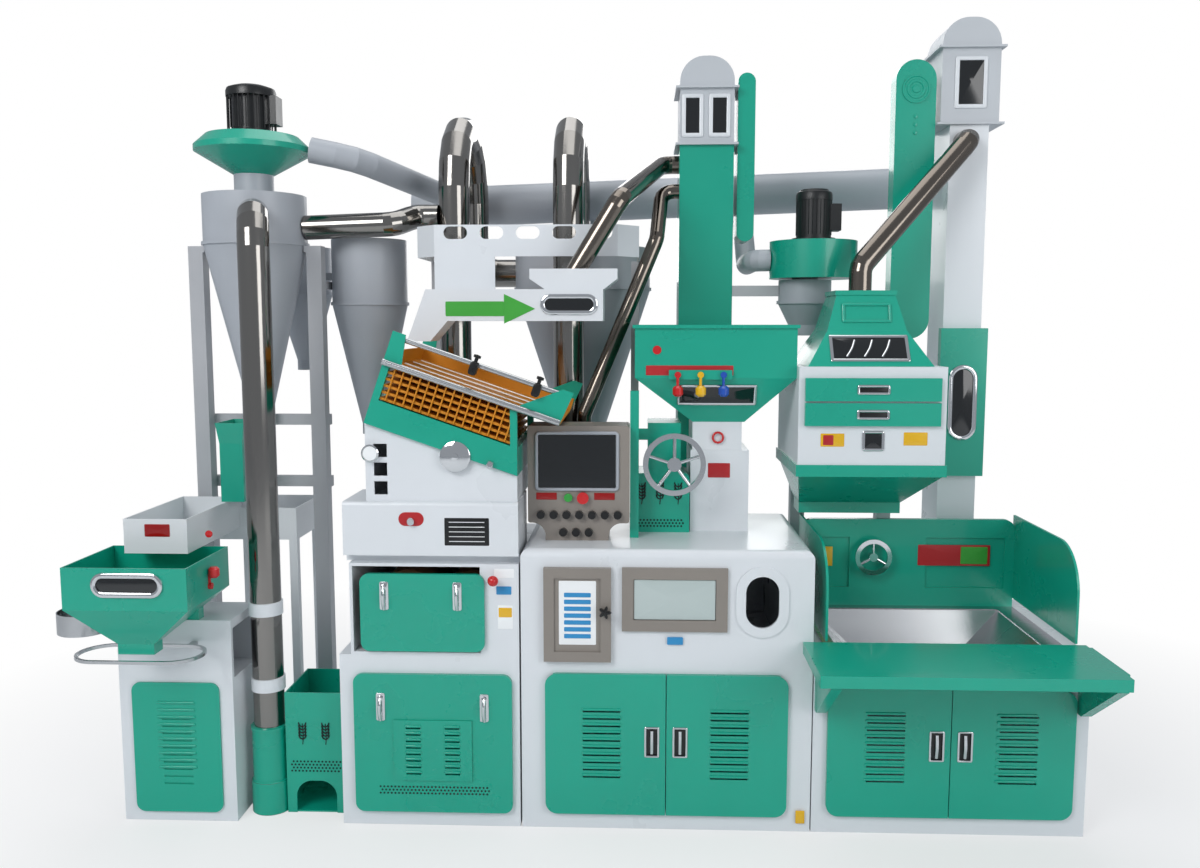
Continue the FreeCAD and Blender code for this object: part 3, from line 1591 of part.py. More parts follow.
spout_mouth = "lift_front + lift_depth / 2"
tray_middle = "chute_tray_left / 2 + chute_tray_right / 2"
grader_middle = "grader_left + grader_width / 2"
grain_spouts = group(
    "grain_spouts",
    pipe(
        "husk_spout",
        [
            (lift_left, spout_mouth, "husk_spout_top"),
            (f"{lift_left} - spout_stub", spout_mouth, "husk_spout_top"),
            ("lattice_right - spout_stub", "chute_front + chute_depth / 2", "lattice_top + spout_stub + 12"),
            (tray_middle, "chute_front + chute_depth / 2", "chute_tray_top - 12"),
        ],
        "spout_radius * 0.85",
        "spout_radius * 1.2",
    ),
    pipe(
        "paddy_spout",
        [
            (lift_left, f"{spout_mouth} - spout_stub", "paddy_spout_top"),
            (f"{lift_left} - spout_stub", f"{spout_mouth} - spout_stub", "paddy_spout_top"),
            ("lattice_right + spout_stub", "goose_front - 10", "lattice_top - 30"),
            ("paddy_spout_foot", "paddy_spout_depth", "panel_base + panel_height"),
            ("paddy_spout_foot", "paddy_spout_depth", "mill_height"),
        ],
        "spout_radius * 0.7",
        "spout_radius * 1.2",
    ),
    pipe(
        "grader_spout",
        [
            ("right_x - 20", "lift_front", "right_top - 1.6 * spout_radius"),
            ("right_x - 20", "lift_front - 2 * spout_radius", "right_top - 1.6 * spout_radius"),
            (grader_middle, "grader_front + grader_depth / 2", "hood_top + 2.2 * spout_radius"),
            (grader_middle, "grader_front + grader_depth / 2", "hood_top"),
        ],
        "spout_radius",
        "spout_radius * 1.3",
    ),
)


# Grader: cabinet with two drawers, four-sided hood above and funnel below.

grader_right = "grader_left + grader_width"
grader_back = "grader_front + grader_depth"
grader_middle = "grader_left + grader_width / 2"
drawer_high = "drawer_low + drawer_height + drawer_gap"
grader_cabinet = body("grader_cabinet")
grader_outline = sketch(grader_cabinet, "grader_outline", "front", "-grader_front")
rectangle(grader_outline, "grader_left", grader_right, "grader_base", "grader_top")
pad(grader_cabinet, grader_outline, "grader_depth", inward=True)
drawer_bays = sketch(grader_cabinet, "drawer_bays", "front", "-grader_front")
for low in ("drawer_low", drawer_high):
    rectangle(
        drawer_bays,
        "drawer_left + slide_gap",
        "drawer_left + drawer_width - slide_gap",
        f"{low} + slide_gap",
        f"{low} + drawer_height - slide_gap",
    )
pocket(grader_cabinet, drawer_bays, "drawer_deep + slide_gap")
sieve_room = sketch(grader_cabinet, "sieve_room", "top", "grader_top")
rectangle(
    sieve_room, "grader_left + sheet_wall", f"{grader_right} - sheet_wall",
    "grader_front + drawer_deep + 3 * slide_gap", f"{grader_back} - sheet_wall",
)
pocket(grader_cabinet, sieve_room, "grader_top - grader_base")


def drawer(name, low):
    """A drawer: overlapping front, open box behind it that rests in its bay, and a cup pull."""
    inner_left, inner_right = "drawer_left + slide_gap + seat_gap", "drawer_left + drawer_width - slide_gap - seat_gap"
    back = "grader_front + drawer_deep - slide_gap"
    base = f"{low} + slide_gap + seat_gap"
    box = case(name + "_box", inner_left, inner_right, "grader_front - seat_gap", back, base, f"{low} + drawer_height - 4 * slide_gap")
    face = block(
        name + "_face", "drawer_left", "drawer_left + drawer_width", "grader_front - seat_gap - door_thick",
        "grader_front - seat_gap", low, f"{low} + drawer_height",
    )
    return fuse(name, box, face)


drawer_upper = drawer("drawer_upper", drawer_high)
drawer_lower = drawer("drawer_lower", "drawer_low")

hood_rect = (
    f"{grader_middle} - hood_width / 2 - hood_shoulder / 2",
    f"{grader_middle} + hood_width / 2 + hood_shoulder / 2",
    "grader_front + grader_depth / 2 - hood_depth / 2 - hood_shoulder / 2",
    "grader_front + grader_depth / 2 + hood_depth / 2 + hood_shoulder / 2",
)
hood_mouth = inset(hood_rect, "hood_shoulder / 2")
grader_rect = ("grader_left", grader_right, "grader_front", grader_back)
hood_low = chute("hood_low", inset(grader_rect, "hood_shoulder / 2"), hood_rect, "grader_top", "hood_waist")
hood_high = chute("hood_high", hood_rect, hood_mouth, "hood_waist", "hood_top - lift_flange")
hood_rim = tube("hood_rim", *inset(hood_mouth, "-4"), "hood_top - lift_flange", "hood_top", "sheet_wall * 2")
hood_plate = block("hood_plate", *inset(hood_mouth, "-4"), "hood_top - sheet_wall", "hood_top")
grader_hood = fuse("grader_hood", hood_low, hood_high, hood_rim, hood_plate)

funnel_rect = (
    f"{grader_middle} - funnel_width / 2",
    f"{grader_middle} + funnel_width / 2",
    "back_plane - 60",
    f"{grader_back} - 40",
)
funnel_rim = tube("funnel_rim", *inset(grader_rect, "-6"), "grader_base - funnel_collar", "grader_base", "sheet_wall + 6")
funnel_body = chute("funnel_body", funnel_rect, inset(grader_rect, "4"), "funnel_base", "grader_base - funnel_collar")
funnel_spout = tube("funnel_spout", *funnel_rect, "funnel_base - 40", "funnel_base")
grader_funnel = fuse("grader_funnel", funnel_rim, funnel_body, funnel_spout)


# Intake: cabinet with two doors, sunken hopper, back panel with cheeks, and the shelf on its brackets.

intake_right = "intake_left + intake_width"
intake_cabinet = body("intake_cabinet")
intake_outline = sketch(intake_cabinet, "intake_outline", "front", BACK)
rectangle(intake_outline, "intake_left", intake_right, 0, "intake_height")
pad(intake_cabinet, intake_outline, "cab_depth", inward=True)
intake_bay = sketch(intake_cabinet, "intake_bay", "front", BACK)
rectangle(
    intake_bay, "intake_left + intake_post + door_lap", f"{intake_right} - intake_post - door_lap",
    "intake_door_base + door_lap", "intake_door_top - door_lap",
)
pocket(intake_cabinet, intake_bay, "cab_depth - sheet_wall")
pit_hole = sketch(intake_cabinet, "pit_hole", "top", "intake_height")
rectangle(pit_hole, "pit_left", "pit_left + pit_width", f"{FRONT} + 40", "back_plane - 60")
pocket(intake_cabinet, pit_hole, "intake_height - intake_door_top + door_lap + 1")

intake_split = "intake_left + intake_width / 2"
left_free, right_free = f"{intake_split} - door_split / 2", f"{intake_split} + door_split / 2"
left_hinge, right_hinge = "intake_left + intake_post", f"{intake_right} - intake_post"
intake_door_left = door(
    "intake_door_left", left_hinge, left_free, "intake_door_base", "intake_door_top", f"{left_hinge} + 190"
)
intake_door_right = door(
    "intake_door_right", right_hinge, right_free, "intake_door_base", "intake_door_top", f"{right_hinge} - 182"
)

pit_rect = ("pit_left", "pit_left + pit_width", f"{FRONT} + 40", "back_plane - 60")
pit_throat = (
    "pit_left + pit_width / 2 - pit_throat / 2",
    "pit_left + pit_width / 2 + pit_throat / 2",
    "-pit_throat / 2",
    "pit_throat / 2",
)
pit = chute("pit", pit_throat, pit_rect, "pit_base", "intake_height")
pit_flange_out = block(
    "pit_flange_out", "back_left", "back_left + back_width", f"{FRONT} + 10", "back_plane",
    "intake_height", "intake_height + sheet_wall",
)
pit_flange_in = block(
    "pit_flange_in", *inset(pit_rect, "sheet_wall"), "intake_height", "intake_height + sheet_wall"
)
intake_hopper = fuse("intake_hopper", pit, cut("pit_flange", pit_flange_out, pit_flange_in))

panel_floor = "intake_height + sheet_wall"
back_panel = body("back_panel")
back_outline = sketch(back_panel, "back_outline", "front", "-back_plane + back_thick")
rectangle(back_outline, "back_left", "back_left + back_width", panel_floor, "back_top")
pad(back_panel, back_outline, "back_thick", inward=True)
back_roof = value("back_top")
soften(back_panel, "door_round", lambda middle, run: abs(run.y) > 0.5 and abs(middle.z - back_roof) < 1)
back_recess = sketch(back_panel, "back_recess", "front", "-back_plane + back_thick")
rectangle(back_recess, "back_left + 36", "back_left + 180", f"{panel_floor} + 70", "back_top - 70")
rectangle(back_recess, "back_left + back_width - 330", "back_left + back_width - 36", f"{panel_floor} + 70", "back_top - 70")
pocket(back_panel, back_recess, "back_thick / 3")
small_bore = sketch(back_panel, "small_bore", "front", "-back_plane + back_thick")
ring(small_bore, "wheel_shaft + running_fit", "small_wheel_middle", "small_wheel_height")
pocket(back_panel, small_bore, "back_thick")


def cheek(name, left):
    """A side plate with a large rounded front corner."""
    owner = body(name)
    outline = sketch(owner, name + "_outline", "side", left)
    polygon(
        outline,
        [
            (f"{FRONT} + 10", "intake_height + shelf_thick"),
            ("back_plane", "intake_height + shelf_thick"),
            ("back_plane", "cheek_top"),
            (f"{FRONT} + 10", "cheek_top"),
        ],
    )
    pad(owner, outline, "cheek_thick")
    nose = value(f"{FRONT} + 10")
    roof = value("cheek_top")
    on_nose = lambda middle, run: abs(run.x) > 0.5 and abs(middle.y - nose) < 1 and abs(middle.z - roof) < 1
    soften(owner, "cheek_round", on_nose)
    return owner


intake_back = group(
    "intake_back",
    back_panel,
    cheek("cheek_left", "back_left - cheek_thick"),
    cheek("cheek_right", "back_left + back_width"),
)

shelf_right = "shelf_left + shelf_width"
shelf_back = f"{FRONT} - seat_gap"
shelf_front = f"{FRONT} - shelf_reach"
shelf_under = "intake_height + shelf_thick - sheet_wall"
shelf_outer = block("shelf_outer", "shelf_left", shelf_right, shelf_front, shelf_back, "intake_height", "intake_height + shelf_thick")
shelf_inner = block(
    "shelf_inner", "shelf_left + sheet_wall", f"{shelf_right} - sheet_wall", f"{shelf_front} + sheet_wall",
    f"{shelf_back} - sheet_wall", "intake_height", "intake_height + shelf_thick - sheet_wall",
)
shelf_tray = cut("shelf_tray", shelf_outer, shelf_inner)


def bracket(name, left):
    """A hollow triangular bracket under the shelf."""
    owner = body(name)
    outline = sketch(owner, name + "_outline", "side", left)
    polygon(
        outline,
        [
            (FRONT, "intake_height - seat_gap"),
            (FRONT, "intake_height - bracket_drop"),
            (f"{FRONT} - 30", "intake_height - bracket_drop"),
            (f"{FRONT} - shelf_reach + 60", "intake_height - 24"),
            (f"{FRONT} - shelf_reach + 60", shelf_under),
            (f"{FRONT} - 2 * sheet_wall", shelf_under),
            (f"{FRONT} - 2 * sheet_wall", "intake_height - seat_gap"),
        ],
    )
    pad(owner, outline, "bracket_thick")
    return owner


shelf = fuse(
    "shelf",
    shelf_tray,
    bracket("bracket_left", "intake_left + 4"),
    bracket("bracket_right", f"{intake_right} - intake_post + 6"),
)


# Outlet side: cabinet, hopper with its spout, bag hoop, tray and trough, bran bin.

outlet_right = "outlet_left + outlet_width"
outlet_back = f"{FRONT} + outlet_depth"
outlet_cabinet = body("outlet_cabinet")
outlet_outline = sketch(outlet_cabinet, "outlet_outline", "front", BACK)
rectangle(outlet_outline, "outlet_left", outlet_right, 0, "outlet_height")
pad(outlet_cabinet, outlet_outline, "outlet_depth", inward=True)
outlet_hollow = sketch(outlet_cabinet, "outlet_hollow", "side", f"{outlet_right}")
rectangle(
    outlet_hollow, f"{FRONT} + sheet_wall * 3", f"{outlet_back} - sheet_wall * 3",
    "outlet_height - 200", "outlet_height - 30",
)
pocket(outlet_cabinet, outlet_hollow, "outlet_width - sheet_wall")
outlet_panel = body("outlet_panel")
outlet_face = sketch(outlet_panel, "outlet_face", "front", BACK)
rectangle(outlet_face, "outlet_left + 44", f"{outlet_right} - 46", 34, 486)
pad(outlet_panel, outlet_face, "panel_thick / 2")
outlet_sides = (value("outlet_left + 44"), value(f"{outlet_right} - 46"))
soften(
    outlet_panel,
    "panel_round",
    lambda middle, run: abs(run.y) > 0.5 and min(abs(middle.x - side) for side in outlet_sides) < 1,
)
outlet_slot = sketch(outlet_panel, "outlet_slot", "front", f"{BACK} + panel_thick / 2")
outlet_middle = "outlet_left + outlet_width / 2"
rectangle(
    outlet_slot, f"{outlet_middle} - louvre_width * 0.4", f"{outlet_middle} + louvre_width * 0.4",
    "louvre_base - 50", "louvre_base - 50 + louvre_slot",
)
rows(outlet_panel, pocket(outlet_panel, outlet_slot, "panel_thick / 4"), outlet_slot, "V_Axis", "louvre_pitch", "louvre_count")

outhop_rect = ("outhop_left", "outhop_left + outhop_width", "outhop_front", "outhop_front + outhop_depth")
outspout_rect = (
    "outhop_left + outhop_width / 2 - outspout_width / 2",
    "outhop_left + outhop_width / 2 + outspout_width / 2",
    "outhop_front + 60",
    "outhop_front + 60 + outspout_width / 2",
)
outhop_box = tube("outhop_box", *outhop_rect, "outhop_base", "outhop_top")
outhop_cone = chute("outhop_cone", outspout_rect, outhop_rect, "outspout_top", "outhop_base")
outhop_spout = tube("outhop_spout", *outspout_rect, "outspout_base", "outspout_top")
outhop_stand = block(
    "outhop_stand", "outhop_left + 120", "outhop_left + outhop_width - 60", f"{FRONT} + 4", f"{FRONT} + 44",
    "outlet_height", "outlet_height + 74",
)
outhop_plinth = cut("outhop_plinth", outhop_stand, taper("outhop_relief", outspout_rect, outhop_rect, "outspout_top", "outhop_base"))
outlet_hopper = fuse("outlet_hopper", outhop_box, outhop_cone, outhop_spout, outhop_plinth)

lever_face = "outhop_left + outhop_width + seat_gap"
lever_level = "outhop_base + 40"
outlet_lever = fuse(
    "outlet_lever",
    rod("outlet_boss", "lever_pivot", "lever_pivot", lever_face, "outhop_front + outhop_depth / 2", lever_level, "x"),
    block(
        "outlet_arm", lever_face, f"{lever_face} + lever_rod", "outhop_front + outhop_depth / 2 - lever_rod",
        "outhop_front + outhop_depth / 2 + lever_rod", lever_level, f"{lever_level} + lever_length",
    ),
    knob(
        "outlet_grip", "lever_ball", f"{lever_face} + lever_ball", "outhop_front + outhop_depth / 2",
        f"{lever_level} + lever_length",
    ),
)

hoop_y = "outhop_front + 60 + outspout_width / 4"
hoop_x = "outhop_left + outhop_width / 2"
hoop = body("hoop")
hoop_outline = sketch(hoop, "hoop_outline", "top", "hoop_height")
stadium(hoop_outline, "hoop_radius + hoop_wire", "hoop_straight", hoop_x, hoop_y, upright=False)
stadium(hoop_outline, "hoop_radius - hoop_wire", "hoop_straight", hoop_x, hoop_y, upright=False)
pad(hoop, hoop_outline, "2 * hoop_wire")
hoop_arm = block(
    "hoop_arm", f"{hoop_x} + hoop_straight / 2", f"{hoop_x} + hoop_straight / 2 + 20",
    f"{hoop_y} + hoop_radius", FRONT, "hoop_height", "hoop_height + 2 * hoop_wire",
)
hoop_ring = fuse("hoop_ring", hoop, hoop_arm)

pan_profile = [
    ("0", "0"),
    ("pan_radius", "0"),
    ("pan_radius", "pan_deep"),
    ("pan_radius - 3", "pan_deep"),
    ("pan_radius - 3", "3"),
    ("0", "3"),
]
sample_pan = fuse(
    "pan_and_arm",
    turned("pan_bowl", "pan_x", "pan_y", pan_profile, "pan_height"),
    block(
        "pan_arm", "pan_x + pan_radius - 4", "outlet_left", "pan_y - 12", "pan_y + 12", "pan_height + 20", "pan_height + 32"
    ),
)

tray_right = "tray_left + tray_width"
tray_back = "tray_front + tray_depth"
tray_box = case("tray_box", "tray_left", tray_right, "tray_front", tray_back, "tray_base", "tray_top")
trough_left = "left_post_x + post_size / 2 + seat_gap"
trough_right = f"{trough_left} + trough_width"
trough_back = f"{tray_back} + trough_depth"
trough_box = case("trough_box", trough_left, trough_right, tray_back, trough_back, "trough_base", "trough_top")
tray_legs = [
    block(f"trough_leg_{index}", left, f"{left} + leg_size", front, f"{front} + leg_size", 0, "trough_base")
    for index, (left, front) in enumerate(
        (
            (f"{trough_left} + 120", tray_back),
            (f"{trough_right} - leg_size", tray_back),
            (f"{trough_left} + 120", f"{trough_back} - leg_size"),
            (f"{trough_right} - leg_size", f"{trough_back} - leg_size"),
        )
    )
]
tray_plinth = block(
    "tray_plinth", "tray_left + 20", "tray_left + 60", f"{outlet_back} - 44", f"{outlet_back} - 4",
    "outlet_height", "tray_base",
)
stone_tray = fuse("stone_tray", tray_box, trough_box, tray_plinth, *tray_legs)

bin_right = "bin_left + bin_width"
bin_back = "bin_front + bin_depth"
bin_case = case("bin_case", "bin_left", bin_right, "bin_front", bin_back, 0, "bin_height")
bin_arch = body("bin_arch")
arch_outline = sketch(bin_arch, "arch_outline", "front", "-bin_front + 1")
arch_left = "bin_left + bin_width / 2 - bin_arch_width / 2"
arch_right = "bin_left + bin_width / 2 + bin_arch_width / 2"
rectangle(arch_outline, arch_left, arch_right, "-1", "bin_arch_height")
pad(bin_arch, arch_outline, "sheet_wall + 1", inward=True)
arch_top = value("bin_arch_height")
soften(bin_arch, "bin_arch_width * 0.4", lambda middle, run: abs(run.y) > 0.5 and abs(middle.z - arch_top) < 1)
bran_bin = cut("bran_bin", bin_case, bin_arch)


# Dust collection: cyclones on posts, fans with their motors, and the ducts between them.

def cyclone(name, stem):
    """A hollow cyclone: straight barrel, cone and outlet, closed on top."""
    radius, tip = f"{stem}_cyclone_radius", f"{stem}_cyclone_tip"
    low, waist, top = f"{stem}_cyclone_low", f"{stem}_cyclone_waist", f"{stem}_cyclone_top"
    profile = [
        (tip, low),
        (tip, f"{low} + 40"),
        (radius, waist),
        (f"{radius} + 6", waist),
        (f"{radius} + 6", f"{waist} + 12"),
        (radius, f"{waist} + 12"),
        (radius, top),
        ("0", top),
        ("0", f"{top} - sheet_wall"),
        (f"{radius} - sheet_wall", f"{top} - sheet_wall"),
        (f"{radius} - sheet_wall", f"{waist} + 12"),
        (f"{tip} - sheet_wall", f"{waist} + 12"),
        (f"{tip} - sheet_wall", low),
    ]
    return turned(name, f"{stem}_cyclone_x", f"{stem}_cyclone_y", profile)


left_cyclone = cyclone("left_cyclone", "left")
left_neck = rod(
    "left_neck", "left_neck_radius", "left_neck_top - left_cyclone_top", "left_cyclone_x", "left_cyclone_y", "left_cyclone_top"
)
right_neck = rod(
    "right_neck", "left_neck_radius * 0.7", "right_fan_base - right_cyclone_top", "right_cyclone_x",
    "right_cyclone_y", "right_cyclone_top",
)
cyclones = group(
    "cyclones",
    fuse("left_cyclone_stack", left_cyclone, left_neck),
    cyclone("back_cyclone", "back"),
    cyclone("mid_cyclone", "mid"),
    cyclone("husk_cyclone", "husk"),
    fuse("right_cyclone_stack", cyclone("right_cyclone", "right"), right_neck),
)


def fan(name, x, y, radius, base, top, bottom_radius):
    """A spun fan housing: a cone below, a rolled rim and a flat lid."""
    profile = [
        ("0", base),
        (bottom_radius, base),
        (radius, f"({base}) * 0.42 + ({top}) * 0.58"),
        (radius, f"({base}) * 0.28 + ({top}) * 0.72"),
        (f"{radius} * 0.8", top),
        ("0", top),
    ]
    return turned(name, x, y, profile)


fan_housings = group(
    "fan_housings",
    fan("left_fan", "left_cyclone_x", "left_cyclone_y", "left_fan_radius", "left_neck_top", "left_fan_top", "left_neck_radius"),
    turned(
        "right_fan", "right_fan_x", "right_cyclone_y",
        [
            ("0", "right_fan_base"),
            ("right_fan_radius", "right_fan_base"),
            ("right_fan_radius", "right_fan_top"),
            ("0", "right_fan_top"),
        ],
    ),
)


def motor(name, x, y, radius, base, top):
    """A motor standing on its flange, with a cowl and a terminal box."""
    profile = [
        ("0", base),
        (f"{radius} * 1.25", base),
        (f"{radius} * 1.25", f"{base} + 12"),
        (radius, f"{base} + 12"),
        (radius, f"{top} - 20"),
        (f"{radius} * 0.8", top),
        ("0", top),
    ]
    frame = turned(name + "_frame", x, y, profile)
    terminals = block(
        name + "_terminals", f"{x} + {radius} * 0.7", f"{x} + {radius} * 1.5", f"{y} - {radius} * 0.5",
        f"{y} + {radius} * 0.5", f"({base}) + 40", f"({base}) + 140",
    )
    return fuse(name, frame, terminals)


fan_motors = group(
    "fan_motors",
    motor("left_motor", "left_cyclone_x", "left_cyclone_y", "left_motor_radius", "left_fan_top", "left_motor_top"),
    motor("right_motor", "right_fan_x", "right_cyclone_y", "right_motor_radius", "right_fan_top", "right_motor_top"),
)

main_duct = pipe(
    "main_duct",
    [("main_duct_left", "main_duct_y", "main_duct_z"), ("main_duct_right", "main_duct_y", "main_duct_z + main_duct_rise")],
    "main_duct_radius",
    "main_duct_radius",
)
fan_mouth = "left_neck_top * 0.35 + left_fan_top * 0.65"
left_duct = pipe(
    "left_duct",
    [
        ("left_cyclone_x + left_fan_radius + 9", "left_cyclone_y", fan_mouth),
        ("mid_cyclone_x", "left_cyclone_y + 20", f"{fan_mouth} - 30"),
        ("main_duct_left + 185", "main_duct_y - 300", "main_duct_z + 20"),
        ("main_duct_left + 185", "main_duct_y - main_duct_radius * 0.6", "main_duct_z + 20"),
    ],
    "left_duct_radius",
    "left_duct_radius * 3",
)
right_mouth = "right_fan_base / 2 + right_fan_top / 2"
right_duct = pipe(
    "right_duct",
    [
        ("right_fan_x - right_fan_radius - seat_gap", "right_cyclone_y", right_mouth),
        ("right_fan_x - right_fan_radius - left_duct_radius * 1.3", "right_cyclone_y", right_mouth),
        ("right_fan_x - right_fan_radius - left_duct_radius * 1.3", "main_duct_y - 300", right_mouth),
        ("right_fan_x - right_fan_radius - left_duct_radius * 1.3", "main_duct_y", "main_duct_z + main_duct_rise / 2"),
    ],
    "left_duct_radius * 0.9",
    "left_duct_radius",
)
husk_duct = rod(
    "husk_duct", "husk_duct_radius", "main_duct_z - husk_cyclone_waist - 40", "husk_cyclone_x",
    "husk_cyclone_y + husk_cyclone_radius + husk_duct_radius + seat_gap", "husk_cyclone_waist + 40",
)
dust_ducts = group("dust_ducts", fuse("duct_run", main_duct, left_duct, right_duct, husk_duct))


def beam(name, level):
    """A bar across the backs of the two posts."""
    return block(
        name, "left_post_x - post_size / 2", "right_post_x + post_size / 2", "post_y + post_size / 2",
        "post_y + post_size / 2 + beam_depth", level, f"{level} + beam_height",
    )


def lattice_leg(name, left, foot):
    """A square leg under the end of one arm of the lattice frame."""
    back = "lattice_front + lattice_depth"
    return tube(name, left, f"{left} + leg_size", f"{back} - leg_size", back, foot, "lattice_top - lattice_band")


def grader_leg(name, left):
    """A square leg from the floor up to the rim of the grader's funnel, behind the intake."""
    back = f"{grader_back} + 6 + seat_gap"
    return tube(name, left, f"{left} + post_size", back, f"{back} + post_size", 0, "grader_base")


support_posts = group(
    "support_posts",
    *[
        tube(
            f"{side}_post", f"{side}_post_x - post_size / 2", f"{side}_post_x + post_size / 2",
            "post_y - post_size / 2", "post_y + post_size / 2", 0, "post_top",
        )
        for side in ("left", "right")
    ],
    block(
        "left_gusset", "left_post_x - post_size / 2", "left_cyclone_x - left_cyclone_radius - 1",
        "post_y - post_size / 2", "post_y + post_size / 2", "post_top", "left_cyclone_waist",
    ),
    block(
        "right_gusset", "left_cyclone_x + left_cyclone_radius + 1", "right_post_x + post_size / 2",
        "post_y - post_size / 2", "post_y + post_size / 2", "post_top", "left_cyclone_waist",
    ),
    beam("high_beam", "left_cyclone_low - beam_height"),
    beam("low_beam_bar", "low_beam"),
    block(
        "mid_bracket", "right_post_x - post_size / 2", "mid_cyclone_x - mid_cyclone_radius - seat_gap",
        "post_y + post_size / 2", "mid_cyclone_y + post_size / 4", "mid_cyclone_waist + 60", "mid_cyclone_waist + 90",
    ),
    block(
        "back_bracket", "back_cyclone_x + back_cyclone_radius * 0.915", "mid_cyclone_x - mid_cyclone_radius * 0.746",
        "back_cyclone_y - back_cyclone_radius / 2", "back_cyclone_y - back_cyclone_radius * 0.41",
        "mid_cyclone_waist + 100", "mid_cyclone_waist + 130",
    ),
    block(
        "right_bracket", lift_right, "right_cyclone_x - right_cyclone_radius - seat_gap",
        "right_cyclone_y - beam_depth / 2", "right_cyclone_y + beam_depth / 2",
        "right_cyclone_waist + 30", "right_cyclone_waist + 30 + beam_height",
    ),
    lattice_leg("lattice_leg_left", "lattice_left", "husk_top"),
    lattice_leg("lattice_leg_right", "lattice_right - leg_size", "mill_height"),
    grader_leg("grader_leg_left", "grader_left + post_size"),
    grader_leg("grader_leg_right", f"{grader_right} - 2 * post_size"),
)

crusher_body = block(
    "crusher_body", "crusher_x - crusher_width / 2", "crusher_x + crusher_width / 2",
    "crusher_y - crusher_depth / 2", "crusher_y + crusher_depth / 2", "tray_top + seat_gap", "crusher_body_top",
)
crusher_bottom = (
    "crusher_x - crusher_width / 2", "crusher_x + crusher_width / 2",
    "crusher_y - crusher_depth / 2", "crusher_y + crusher_depth / 2",
)
crusher_funnel = chute(
    "crusher_funnel", crusher_bottom, inset(crusher_bottom, "crusher_width / 2 - crusher_mouth / 2"),
    "crusher_body_top", "crusher_top",
)
crusher_stand = block(
    "crusher_stand", "crusher_x - 20", "crusher_x + 20", "crusher_y + crusher_depth / 2",
    "post_y + post_size / 2", "low_beam", "crusher_body_top",
)
crusher = fuse("crusher", crusher_body, crusher_funnel, crusher_stand)


# Checks, then one STEP file for each node.

sight_windows = group("sight_windows", mill_window)

NODES = {
    "mill_cabinet": mill_cabinet,
    "mill_column": mill_column,
    "mill_guard": mill_guard,
    "mill_hopper": mill_hopper,
    "sight_windows": sight_windows,
    "control_housing": control_housing,
    "control_screen": control_screen,
    "selector_knobs": selector_knobs,
    "start_button": start_button,
    "stop_button": stop_button,
    "huller_lower_cabinet": huller_lower_cabinet,
    "huller_upper_cabinet": huller_upper_cabinet,
    "huller_head_box": huller_head_box,
    "huller_panel_upper": huller_panel_upper,
    "huller_panel_lower": huller_panel_lower,
    "fixed_roll": fixed_roll,
    "moving_roll": moving_roll,
    "separator_base": separator_base,
    "separator_case": separator_case,
    "separator_decks": separator_decks,
    "separator_rail": separator_rail,
    "feed_chute": feed_chute,
    "lattice_frame": lattice_frame,
    "suction_pipes": suction_pipes,
    "grain_spouts": grain_spouts,
    "centre_elevator": centre_elevator,
    "elevator_heads": group("elevator_heads", centre_elevator_head, right_elevator_head),
    "belt_guards": belt_guards,
    "right_elevator": right_elevator,
    "grader_cabinet": grader_cabinet,
    "grader_hood": grader_hood,
    "grader_funnel": grader_funnel,
    "drawer_upper": drawer_upper,
    "drawer_lower": drawer_lower,
    "intake_cabinet": intake_cabinet,
    "intake_hopper": intake_hopper,
    "intake_back": intake_back,
    "intake_handwheel": intake_handwheel,
    "intake_door_left": intake_door_left,
    "intake_door_right": intake_door_right,
    "shelf": shelf,
    "outlet_cabinet": group("outlet_cabinet", outlet_cabinet, outlet_panel),
    "outlet_lever": outlet_lever,
    "outlet_hopper": outlet_hopper,
    "bag_hoop": group("bag_hoop", hoop_ring, sample_pan),
    "stone_tray": stone_tray,
    "bran_bin": bran_bin,
    "cyclones": cyclones,
    "fan_housings": fan_housings,
    "fan_motors": fan_motors,
    "dust_ducts": dust_ducts,
    "support_posts": support_posts,
    "crusher": crusher,
    "mill_door_left": mill_door_left,
    "mill_door_right": mill_door_right,
    "chart_door": chart_door,
    "mill_handwheel": mill_handwheel,
    "lever_red": lever_red,
    "lever_yellow": lever_yellow,
    "lever_blue": lever_blue,
}

doc.recompute()
failed = [item.Name for item in doc.Objects if "Invalid" in item.State or "Error" in item.State]
if failed:
    raise ValueError(f"failed: {failed}")
os.makedirs("parts", exist_ok=True)
for name, item in NODES.items():
    item.Label = name
    shape = item.Shape
    if shape.isNull() or not shape.isValid() or not shape.Solids:
        raise ValueError(f"{name} has no valid solid")
for name, item in NODES.items():
    item.Shape.exportStep(f"parts/{name}.step")
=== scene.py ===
"""Looks of a combined rice mill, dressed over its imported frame. Metres, +Z up, the operator stands at -Y."""

import logging
import math
from dataclasses import dataclass, field
from enum import Enum

import bpy
import numpy as np
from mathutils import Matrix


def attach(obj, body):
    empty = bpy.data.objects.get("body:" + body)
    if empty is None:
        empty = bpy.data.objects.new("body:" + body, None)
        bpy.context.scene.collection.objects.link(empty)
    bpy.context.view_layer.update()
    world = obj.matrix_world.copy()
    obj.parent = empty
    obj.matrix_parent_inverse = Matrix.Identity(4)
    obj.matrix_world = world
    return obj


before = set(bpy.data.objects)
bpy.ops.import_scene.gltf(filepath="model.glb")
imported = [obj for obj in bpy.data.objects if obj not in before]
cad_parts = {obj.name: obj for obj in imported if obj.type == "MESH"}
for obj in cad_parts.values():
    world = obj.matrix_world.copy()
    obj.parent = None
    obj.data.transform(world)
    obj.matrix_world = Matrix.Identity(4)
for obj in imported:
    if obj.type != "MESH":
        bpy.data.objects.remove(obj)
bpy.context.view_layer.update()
LOG = logging.getLogger("rice_mill")
MILL = "machine"


